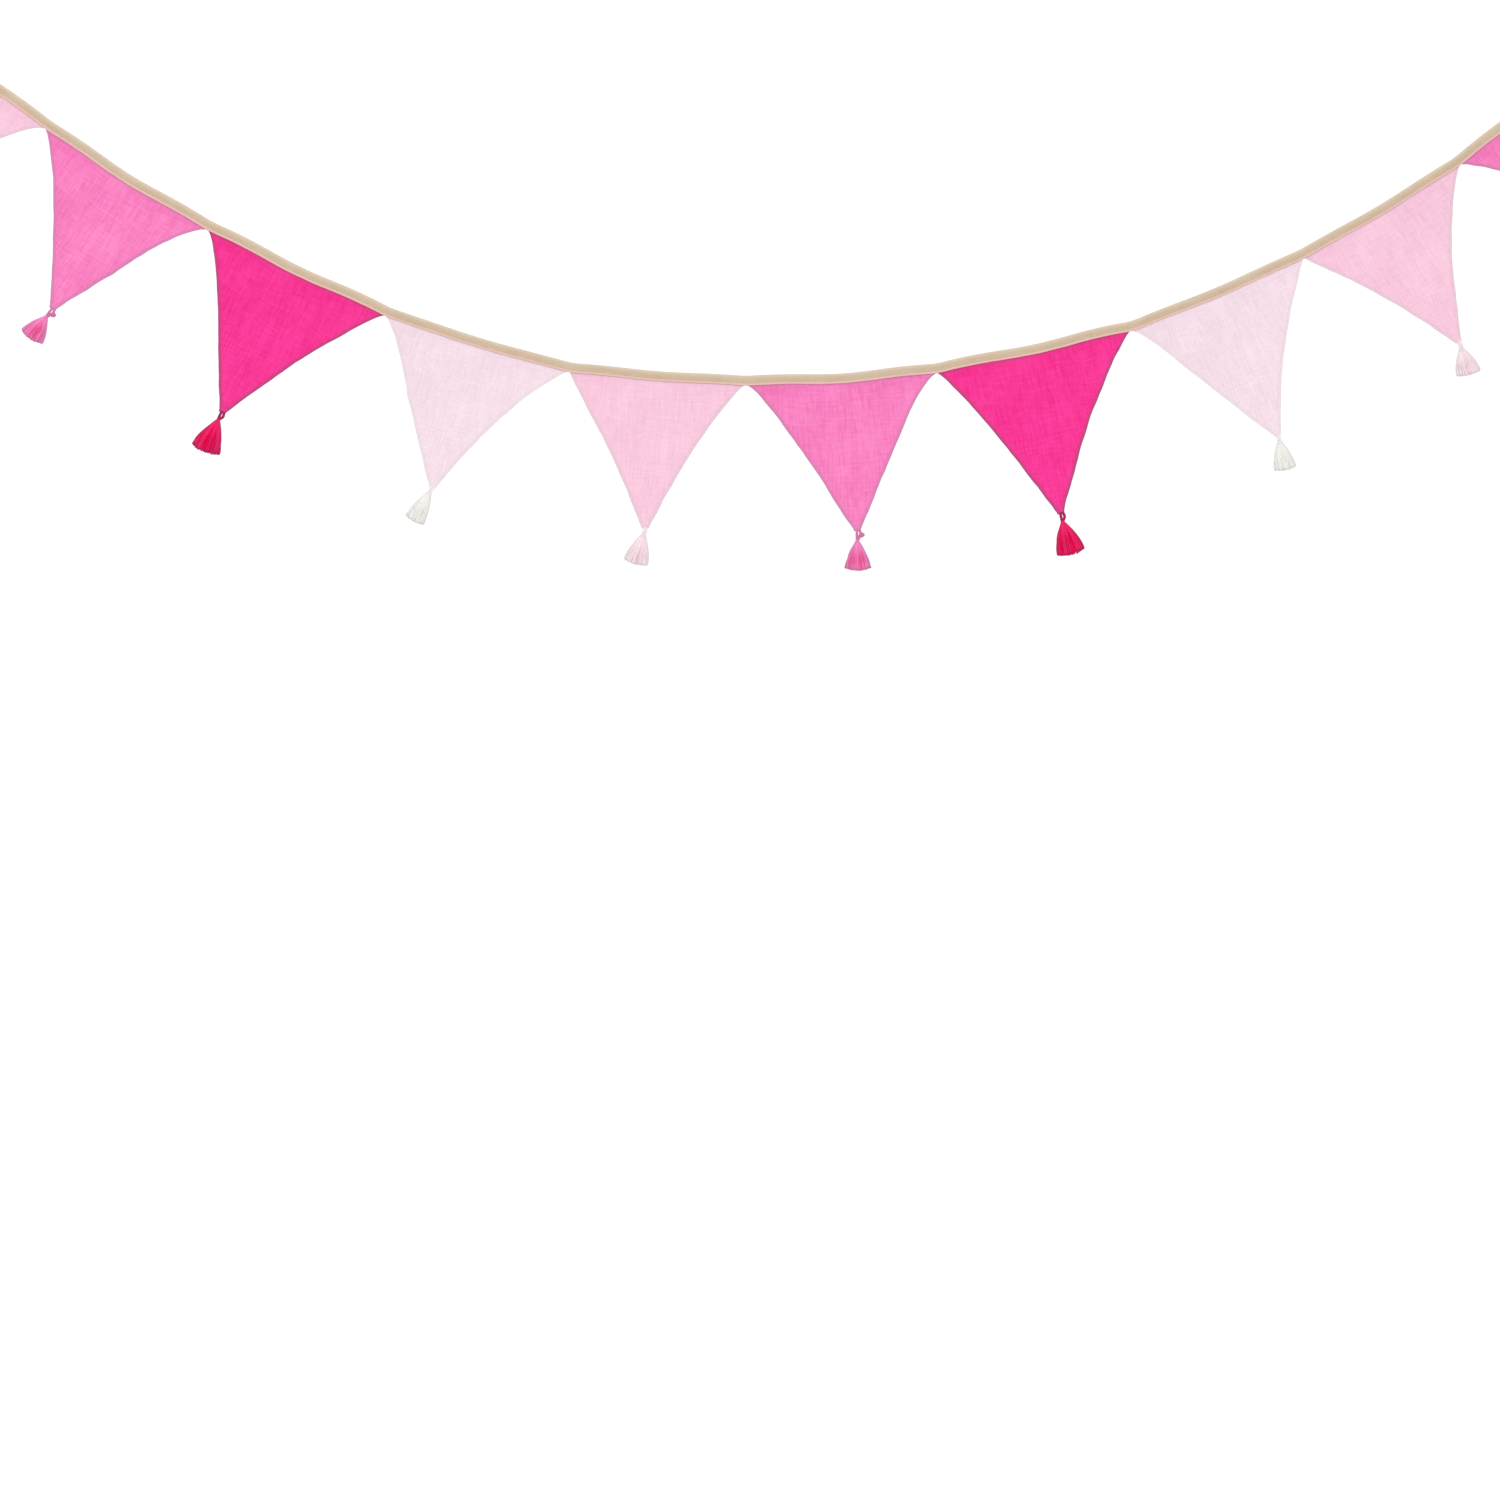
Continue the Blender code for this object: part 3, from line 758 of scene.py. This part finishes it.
def binding_face(place, half, facing):
    """The strip's front or back from its fold down, with small puckers and a straying lower edge. Its tone is
    painted light and shade, lighter on the puckers' crests.
    """
    below, out, tone = np.array((FACE_BELOW, FACE_OUT, FACE_PAINTED_SHADING))
    turned = np.clip((below - TURNED_TOP) / (BINDING_HEIGHT - TURNED_TOP), 0.0, 1.0)
    swell = sum(pucker.height * noise(place / pucker.along, below / pucker.down, pucker.seed + (facing > 0))
                for pucker in PUCKERS) * (1 - TURNED_CALM * ease(turned))
    stray = EDGE_WANDER * noise(place / EDGE_WANDER_LENGTH, 0.0, EDGE_WANDER_SEED + (facing > 0))
    # turned is also the share of the edge colour, a painted highlight along the lower edge
    return spread(facing * (half + out + swell), below + stray * ease(turned), tone + swell, turned)


def make_binding(binding, material):
    """The folded strip, its outside and its inside."""
    place, half = binding.distances[:, None], binding.halves[:, None]
    outer, inner = half + FOLD_OUTSIDE, half - LEAF_INSIDE
    arc = math.pi * (np.arange(1, FOLD_ARC_STEPS) / FOLD_ARC_STEPS)
    inside = np.array(INSIDE_BELOW)
    ring = [
        binding_face(place, half, -1)[:, ::-1],
        # the fold's arc, which takes the painted highlight
        spread(-outer * np.cos(arc), outer * (1 - np.sin(arc)) + FOLD_DROP, FOLD_PAINTED_HIGHLIGHT, 0.0),
        binding_face(place, half, 1),
        spread(inner, inside, 0.0, 0.0),
        spread(inner * np.cos(arc), outer - inner * np.sin(arc), 0.0, 0.0),
        spread(-inner, inside[::-1], 0.0, 0.0),
    ]
    back, below, tone, edge = np.moveaxis(np.concatenate(ring, axis=1), -1, 0)
    rows, columns = back.shape
    cloth = spread(place, travelled(spread(back, below)), 0.0)
    faces = [grid_faces(rows, columns), end_caps(rows, [part.shape[1] for part in ring])]
    pile = Pile()
    pile.add(binding.at(place, back, below), faces, cloth, tone, edge)
    return pile.piece("binding", material)


def end_caps(rows, sizes):
    """Faces that close the strip's cut ends. sizes are the numbers of points in its stretches."""
    columns = sum(sizes)
    front, fold, back, back_inside, cave, front_inside = np.split(np.arange(columns), np.cumsum(sizes)[:-1])
    over = np.concatenate((front[-1:], fold, back[:1]))
    under = np.concatenate((front_inside[:1], cave[::-1], back_inside[-1:]))
    pairs = ((front[::-1], front_inside), (back, back_inside[::-1]), (over, under))
    triangles = np.concatenate([bridged(*pair) for pair in pairs])
    return np.concatenate((triangles[:, ::-1], triangles + (rows - 1) * columns))


def bridged(first, second):
    """Triangles between two rows of two points or more, both in the same order."""
    last_first, last_second = len(first) - 1, len(second) - 1
    triangles = []
    here = there = 0
    while here < last_first or there < last_second:
        if (here + 1) / last_first <= (there + 1) / last_second:
            triangles.append((first[here], first[here + 1], second[there]))
            here += 1
        else:
            triangles.append((first[here], second[there + 1], second[there]))
            there += 1
    return triangles


def make_binding_stitches(binding, material):
    """The row of stitches along both faces, and a tack across each end."""
    pile = Pile()
    draws = np.random.default_rng(BINDING_STITCH_SEED)
    sewing = BINDING_SEWING
    starts = np.arange(STITCH_PITCH, binding.length - STITCH_PITCH, STITCH_PITCH)
    count = len(starts)
    line = STITCH_BELOW + STITCH_DRIFT * noise(starts / STITCH_DRIFT_LENGTH, 0.0, STITCH_DRIFT_SEED)
    for facing in FACINGS:
        begin = starts + draws.uniform(-sewing.off, sewing.off, count)
        end = begin + STITCH_PITCH - STITCH_GAP + draws.uniform(-sewing.off, sewing.off, count)
        ends = []
        for place in (begin, end):
            below = line + draws.uniform(-STITCH_SLANT, STITCH_SLANT, count)
            ends.append(binding.on_leaf(place, facing, STITCH_OUT, below))
        add_stitches(pile, *ends, facing, sewing, draws.uniform(sewing.dark, sewing.light, (count, 1)))
        for place in (TACK_INSET, binding.length - TACK_INSET):
            upper = np.array(TACK_BELOW)
            ends = [binding.on_leaf(place, facing, TACK_OUT, below) for below in (upper, upper + TACK_LENGTH)]
            add_stitches(pile, *ends, facing, sewing, TACK_TONE)
    return pile.piece("binding_stitches", material)


def side_stray(flag, below, side):
    """How far a flag's left (0) or right (1) turned side lies off its line, to the right."""
    row = flag.tip + STRAY_ROWS * side
    return sum(stray.height * noise(below / stray.length, row, flag.drop) for stray in SIDE_STRAYS)


def flag_sides(flag, below):
    """Where a flag's sides lie along the run, at distances below the chord."""
    shoulder = flag.drop - TIP_ROUNDING
    share = np.clip((below - BINDING_HEIGHT) / (shoulder - BINDING_HEIGHT), 0.0, 1.0)
    drawn_in, waved = np.sin(math.pi * share ** BOW_SKEW), np.sin(TURN * share ** BOW_SKEW)
    into_tip = np.clip((below - shoulder) / TIP_ROUNDING, 0.0, 1.0)
    tip_half = TIP_HALF * np.sqrt(1 - (1 - (TIP_END_HALF / TIP_HALF) ** 2) * into_tip ** 2)
    left = mix(flag.left, flag.tip - tip_half, share) + flag.bow_left * drawn_in + flag.wave_left * waved
    right = mix(flag.right, flag.tip + tip_half, share) - flag.bow_right * drawn_in - flag.wave_right * waved
    free = ease((below - BINDING_HEIGHT) / STRAY_EASE) * (1 - into_tip)
    return left + free * side_stray(flag, below, 0), right + free * side_stray(flag, below, 1)


def flag_depth(flag, across, below):
    """How far the cloth hangs back of the binding's line, across 0 to 1 between the sides."""
    share = np.maximum(0.0, below - BINDING_HEIGHT) / (flag.drop - BINDING_HEIGHT)
    free = ease(3 * share) * (1 - share)
    curl = flag.curl_left * (1 - across) ** 3 + flag.curl_right * across ** 3
    fold = flag.fold * np.sin(TURN * FOLDS_ACROSS * across + flag.tip)
    return flag.swing * share + free * (curl + fold)


def crinkled(number, along, below, skin):
    """Height of one kind of crinkles, and the same as a tone from -1 to 1, used as painted light and shade.
    """
    bend = noise(along / BEND_CELL[0], below / BEND_CELL[1], BEND_SEED + number)
    bent = along + BEND_HEIGHT * bend
    height, most = 0.0, 0.0
    for layer, crinkle in enumerate(CRINKLES):
        if crinkle.skin != skin:
            continue
        wave = noise(bent / crinkle.across, below / crinkle.down, CRINKLE_SEEDS * number + layer)
        if crinkle.sharp:
            wave = 1 - 2 * np.sqrt(np.abs(wave))
        height = height + crinkle.height * wave
        most += crinkle.height
    return height, height / most


def flag_skin(number, along, below, inward, facing):
    """Points on a flag's front or back, and their tone: painted light high in the crinkles and painted shade
    low in them and at the top corners. inward is how far they lie from the nearer side."""
    flag, index = FLAGS[number], FIRST_FLAG_RUN + number
    left, right = flag_sides(flag, below)
    across = np.clip((along - left) / (right - left), 0.0, 1.0)
    share = along / RUNS[index].length
    belly = run_belly(index, share) * np.maximum(0.0, 1 - below / BELLY_REACH)
    free = ease((below - BINDING_HEIGHT + HELD_RISE) / HELD_EASE)
    free = free * mix(SEAM_STIFFNESS, 1.0, ease(inward / SEAM_EASE))
    both, tone = crinkled(number, along, below, False)
    own, _ = crinkled(number, along + SKIN_SHIFT * (facing + 2), below, True)
    own = own * np.minimum(free, ease(inward / SKIN_EASE))
    half = np.interp(inward, SEAM_INWARD, SEAM_HALF)
    half = half * mix(TIP_THICKNESS_SHARE, 1.0, ease((flag.drop - below) / TIP_THINNING))
    back = run_depth(index, share) + flag_depth(flag, across, below) + both * free + facing * (half + own)
    shade = TOP_SHADE * (0.5 + np.abs(across - 0.5)) * np.exp((BINDING_HEIGHT - below) / TOP_SHADE_REACH)
    return run_points(index, along, back, below + belly), -facing * tone * free - shade


def flag_rows(flag):
    """Distances of a flag's rows below the chord, from the held edge to the tip."""
    shoulder = flag.drop - TIP_ROUNDING
    held = np.linspace(FLAG_TOP, BINDING_HEIGHT - HELD_ROWS_GAP, HELD_ROWS)
    free = np.linspace(BINDING_HEIGHT, shoulder, FREE_ROWS)
    end = shoulder + TIP_ROUNDING * np.sin(np.linspace(0, math.pi / 2, TIP_ROWS + 1)[1:])
    return np.concatenate((held, free, end))


def seam_squeeze(width):
    """How much of their full width the seam bands keep where the flag is that wide."""
    return np.minimum(1.0, SEAM_BAND_SHARE * width / SEAM_INWARD[-1])


def flag_places(flag, below):
    """Places across a flag's rows, and their distances from the nearer side, real and for a full seam."""
    left, right = flag_sides(flag, below)
    width = (right - left)[:, None]
    squeeze = seam_squeeze(width)
    inward = squeeze * SEAM_INWARD
    band = inward[:, -1:]
    middle = band + (width - 2 * band) * np.linspace(0, 1, MIDDLE_COLUMNS + 1)[1:-1]
    from_left = np.concatenate((inward, middle, (width - inward)[:, ::-1]), axis=1)
    from_side = np.minimum(from_left, width - from_left)
    return left[:, None] + from_left, from_side, from_side / squeeze


def flag_lids(rows, columns):
    """Faces that close a flag's held edge and its tip between the two skins."""
    ring = 2 * columns - 2
    column = np.arange(1, columns - 2)
    quads = spread(column, column + 1, ring - column - 1, ring - column)
    corners = np.array(((0, 1, ring - 1), (columns - 2, columns - 1, columns)))
    last = (rows - 1) * ring
    return [quads[:, ::-1], corners[:, ::-1], quads + last, corners + last]


def make_flag(number, material):
    """One flag: two skins joined all round."""
    flag = FLAGS[number]
    rows = flag_rows(flag)
    along, from_side, inward = flag_places(flag, rows)
    below = np.broadcast_to(rows[:, None], along.shape)
    # Painted shade in the edge colour along the turned sides and right under the binding.
    edge = SIDE_PAINTED_SHADE * np.exp(-np.maximum(0.0, from_side - SIDE_LINE) / SIDE_FADE)
    edge = np.maximum(edge, HELD_PAINTED_SHADE * np.exp(-np.maximum(0.0, below - BINDING_HEIGHT) / HELD_FADE))
    skins = []
    for facing in FACINGS:
        points, tone = flag_skin(number, along, below, inward, facing)
        cloth = spread(along, below, BACK_SHIFT * (facing > 0))
        skins.append((points, cloth, tone, edge))
    columns = along.shape[1]
    turned = slice(columns - 2, 0, -1)
    points, *rest = (np.concatenate((front, back[:, turned]), axis=1) for front, back in zip(*skins))
    pile = Pile()
    pile.add(points, [grid_faces(len(rows), points.shape[1])] + flag_lids(len(rows), columns), *rest)
    return pile.piece("flag_%02d_cloth" % (number + 1), material)


def flag_flat_size(flag):
    """Width and length, and area of a flag laid flat, in metres."""
    rows = flag_rows(flag)
    left, right = flag_sides(flag, rows)
    area = float(np.sum((right - left)[:-1] * np.diff(rows)))
    return (float(right[0] - left[0]) * MM, (flag.drop - FLAG_TOP) * MM), area * MM * MM


def make_flag_stitches(number, material):
    """The top-stitching down both sides of a flag, front and back."""
    flag, sewing = FLAGS[number], FLAG_SEWING
    draws = np.random.default_rng(FLAG_STITCH_SEED + number)
    pile = Pile()
    below = np.arange(BINDING_HEIGHT + FLAG_STITCH_START, flag.drop - FLAG_STITCH_END, FLAG_STITCH_STEP)
    left, right = flag_sides(flag, below)
    inward = SEAM_LINE * seam_squeeze(right - left)
    for seam in (left + inward, right - inward):
        distances = travelled(spread(seam, below))
        starts = np.arange(0, distances[-1] - STITCH_PITCH, STITCH_PITCH)
        for facing in FACINGS:
            begin = starts + draws.uniform(-sewing.off, sewing.off, len(starts))
            ends = []
            for place in (begin, begin + STITCH_PITCH - STITCH_GAP):
                along, down = np.interp(place, distances, seam), np.interp(place, distances, below)
                ends.append(flag_skin(number, along, down, SEAM_LINE, facing)[0])
            tone = draws.uniform(sewing.dark, sewing.light, (len(starts), 1))
            add_stitches(pile, *ends, facing, sewing, tone)
    return pile.piece("flag_%02d_stitches" % (number + 1), material)


def hung_tassel(number):
    """A tassel's seat under its flag's tip, the matrix that turns its own axes into the garland's, and in its
    own axes the ends of both strands of the loop, inside and outside the tip."""
    flag, tassel, index = FLAGS[number], TASSELS[number], FIRST_FLAG_RUN + number
    tie = TIES[tassel.colour]
    lean = math.radians(tassel.lean)
    tilt = lean + math.radians(RUNS[index].slope)
    back = run_depth(index, flag.tip / RUNS[index].length) + flag_depth(flag, 0.5, flag.drop)
    seat = run_points(index, flag.tip, back, flag.drop + SEAT_GAP + HEAD_HALF_WIDTH * abs(math.sin(tilt)))
    turn = np.array(((math.cos(lean), 0, -math.sin(lean)), (0, 1, 0), (math.sin(lean), 0, math.cos(lean))))
    ends = []
    for side in SIDES:
        out = side * CORD_ROOM * tie.opening
        inner = run_points(index, flag.tip + tie.shift + CAUGHT_SHARE * out, back, flag.drop - CORD_CAUGHT)
        outer = run_points(index, flag.tip + tie.shift + out, back, flag.drop + CORD_OUT)
        ends.append(((inner - seat) @ turn, (outer - seat) @ turn))
    return seat, turn, ends


def skirt_points(tassel, tie, angle, reach, share):
    """Points of the skirt at angles round it, shares of its full spread and shares of the way down."""
    flare = 1 - (1 - np.clip(share, 0, 1)) ** tie.bulge
    across, back = reach * np.cos(angle), reach * np.sin(angle)
    wide, deep = tassel.width / 2, SKIRT_DEPTH * tassel.width / 2
    fall = np.sqrt((tassel.length - tie.neck) ** 2 - CUT_ROUNDNESS * (wide * across) ** 2)
    fall = fall - CUT_SLANT * deep * (1 + back)
    across, back = mix(tie.half, wide, flare) * across, mix(tie.half, deep, flare) * back
    return spread(across, back, -tie.neck - fall * share)


def add_skirt_core(pile, tassel, tie):
    """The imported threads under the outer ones, which close the skirt."""
    share = np.linspace(0, CORE_END, SKIRT_STEPS)[:, None]
    angle = TURN * np.arange(CORE_SIDES) / CORE_SIDES
    rings = skirt_points(tassel, tie, angle, CORE_REACH, share)
    points = np.concatenate((rings.reshape(-1, 3), rings[[0, -1]].mean(axis=1)))
    rim = np.arange(CORE_SIDES)
    following = (rim + 1) % CORE_SIDES
    lowest = (SKIRT_STEPS - 1) * CORE_SIDES
    top, bottom = spread(following, rim, len(points) - 2), spread(rim, following, len(points) - 1 - lowest)
    caps = np.concatenate((top, lowest + bottom))
    pile.add(points, [grid_faces(SKIRT_STEPS, CORE_SIDES), caps], points * CORE_CLOTH, CORE_SHADE_TONE)


def add_skirt_layer(pile, tassel, tie, layer, number, draws):
    """One layer of the skirt's threads, down to their cut ends."""
    count = layer.threads
    pitch = TURN / count
    angle = pitch * np.arange(count) + draws.normal(0, THREAD_SPREAD * pitch, count)
    reach = draws.uniform(layer.least, layer.most, count)
    share = np.linspace(layer.start, 1, SKIRT_STEPS)
    uneven = 1 + draws.normal(0, SKIRT_UNEVENNESS, count)
    paths = skirt_points(tassel, tie, angle[:, None], reach[:, None], share * uneven[:, None])
    astray = np.where(draws.uniform(0, 1, count) < STRAY_SHARE, tie.stray, COMBED_HEIGHT)
    for axis in range(2):
        phase, turns = draws.uniform(0, TURN, count), draws.uniform(*STRAY_TURNS, count)
        wave = np.sin(phase[:, None] + TURN * turns[:, None] * share)
        paths[:, :, axis] += (astray * draws.uniform(STRAY_LEAST, 1.0, count))[:, None] * share * wave
    tones = SKIRT_TONES
    streaks = noise(angle / STREAK_ANGLE, number + 0.5, STREAK_SEED)
    # the way in is painted shade on the inner threads; the streaks and each thread's draw are random
    own = tones.middle + tones.inward * (1 - reach) + tones.streak * streaks
    own = own + draws.normal(0, tones.thread, count)
    # painted light at the skirt's top, at its ends and, below, on its sides
    down = tones.top * (1 - ease(share / tones.top_reach))
    down = down + tones.end * ease((share - 1) / tones.end_reach + 1)
    tone = own[:, None] + tones.side * np.cos(angle)[:, None] ** 2 + down
    cut = np.interp(share, (CUT_START, 1.0), (0.0, CUT_EDGE))
    # painted shade along the skirt's sides
    edge = np.maximum(cut, SKIRT_SIDE_SHADE * np.cos(angle)[:, None] ** 4)
    add_tubes(pile, paths, np.interp(share, SWELL_SHARES, SWELL_RADII), THREAD_SIDES, tone, edge)


def add_loop(pile, tie, ends):
    """The loop's two strands, from inside the flag's tip to inside the skirt."""
    for side, (inner, outer) in zip(SIDES, ends):
        front = -LOOP_APART * side
        strand = [
            inner,
            outer,
            (side * tie.opening + tie.shift, front, -LOOP_WIDEST * tie.meet),
            (side * STRANDS_MEET * tie.half, front, -tie.meet),
            (side * STRANDS_END * tie.half, front, -tie.neck - STRANDS_HIDDEN),
        ]
        add_plied(pile, through(strand, LOOP_STEPS), tie.cord, tie.edge)


def add_knot(pile, tie):
    """The small knot beside the loop: balls of cord, each a closed trefoil."""
    turn = np.linspace(0, TURN, KNOT_STEPS)
    for ball in KNOT:
        wide = ball.size * (2 + np.cos(3 * turn))
        deep = KNOT_DEPTH * ball.size * np.sin(3 * turn)
        knot = spread(wide * np.cos(2 * turn), deep, wide * np.sin(2 * turn))
        centre = (ball.across + tie.shift, -ball.forward, -ball.below)
        add_plied(pile, knot + centre, KNOT_CORD * tie.cord, tie.edge)


def add_neck(pile, tie):
    """The thread wound round the neck."""
    turns = np.linspace(0, NECK_TURNS, NECK_STEPS * NECK_TURNS)
    height = np.linspace(NECK_RISE, -NECK_FALL, len(turns)) - tie.neck
    wide = np.interp(turns, (0, NECK_TURNS), (NECK_TOP_SHARE * tie.half, tie.half + NECK_OUT))
    wrap = spread(wide * np.cos(TURN * turns), wide * np.sin(TURN * turns), height)
    add_tubes(pile, wrap[None], NECK_THREAD, NECK_SIDES, NECK_TONE)


def make_tassel(number, material):
    """One tassel: skirt, loop, knot and bound neck."""
    tassel = TASSELS[number]
    tie = TIES[tassel.colour]
    draws = np.random.default_rng(TASSEL_SEED + number)
    seat, turn, ends = hung_tassel(number)
    pile = Pile()
    add_skirt_core(pile, tassel, tie)
    for layer in LAYERS:
        add_skirt_layer(pile, tassel, tie, layer, number, draws)
    add_loop(pile, tie, ends)
    if tie.knotted:
        add_knot(pile, tie)
    add_neck(pile, tie)
    pile.points = [seat + points @ turn.T for points in pile.points]
    return pile.piece("tassel_%02d_threads" % (number + 1), material)


def dress():
    """Replace every CAD node by its cloth, stitches or threads."""
    looks, sewing = {}, {}
    for name, dye in DYES.items():
        if name.endswith("thread"):
            looks[name] = thread(name, dye)
        else:
            looks[name] = (twill if name == "beige_twill" else gauze)(name, dye)
            sewing[name] = thread(name + "_sewing", dye)

    binding = Binding()
    strip = make_binding(binding, looks["beige_twill"])
    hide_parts("binding_tape")
    row = make_binding_stitches(binding, sewing["beige_twill"])

    for number, flag in enumerate(FLAGS):
        cloth = make_flag(number, looks[flag.colour])
        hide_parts("flag_%02d" % (number + 1))
        seams = make_flag_stitches(number, sewing[flag.colour])
        size, area = flag_flat_size(flag)
        tassel = make_tassel(number, looks[TASSELS[number].colour])
        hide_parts("tassel_%02d" % (number + 1))


def make_camera():
    """A level camera square to the garland, which shows the photograph's part of it."""
    data = bpy.data.cameras.new("camera")
    data.lens = SENSOR * CAMERA_DISTANCE / PHOTO_WIDTH
    data.sensor_width = SENSOR
    camera = placed("camera", data)
    camera.location = (VIEW_CENTRE[0], -CAMERA_DISTANCE, VIEW_CENTRE[1])
    camera.rotation_euler = (math.pi / 2, 0.0, 0.0)
    bpy.context.scene.camera = camera


def make_lamp(lamp):
    """A soft square lamp that points at the middle of the garland."""
    data = bpy.data.lights.new(lamp.name, "AREA")
    data.energy, data.size = lamp.energy, lamp.size
    item = placed(lamp.name, data)
    item.location = lamp.place
    aim = Vector(GARLAND_MIDDLE) - Vector(lamp.place)
    item.rotation_euler = aim.to_track_quat("-Z", "Y").to_euler()


def make_world():
    """White surroundings that light the cloth from all sides, brighter where they are seen."""
    world = bpy.data.worlds.new("studio")
    world.use_nodes = True
    tree = world.node_tree
    background = tree.nodes["Background"]
    background.inputs["Color"].default_value = (1.0, 1.0, 1.0, 1.0)
    path = tree.nodes.new("ShaderNodeLightPath")
    strength = tree.nodes.new("ShaderNodeMix")
    strength.inputs["A"].default_value = AMBIENT
    strength.inputs["B"].default_value = SEEN_WHITE
    tree.links.new(path.outputs["Is Camera Ray"], strength.inputs["Factor"])
    tree.links.new(strength.outputs["Result"], background.inputs["Strength"])
    bpy.context.scene.world = world


def make_floor():
    """A plain pale floor below the garland."""
    mesh = bpy.data.meshes.new("floor")
    corners = [(-FLOOR_REACH, -FLOOR_REACH, FLOOR_LEVEL), (FLOOR_REACH, -FLOOR_REACH, FLOOR_LEVEL),
               (FLOOR_REACH, FLOOR_BACK, FLOOR_LEVEL), (-FLOOR_REACH, FLOOR_BACK, FLOOR_LEVEL)]
    mesh.from_pydata(corners, [], [(0, 1, 2, 3)])
    look = Look("floor")
    cloud = look.cloud(look.node("TexCoord", {}).outputs["Object"], (2.0, 2.0, 2.0))
    look.feed(look.shader, {"Base Color": FLOOR_COLOUR, "Roughness": look.weighted((cloud, 0.1), (1.0, 0.8))})
    mesh.materials.append(look.material)
    placed("floor", mesh)


def make_studio():
    """Camera, floor and soft white light."""
    make_camera()
    make_world()
    make_floor()
    for lamp in LAMPS:
        make_lamp(lamp)
    bpy.context.scene.view_settings.view_transform = "Standard"


dress()
make_studio()
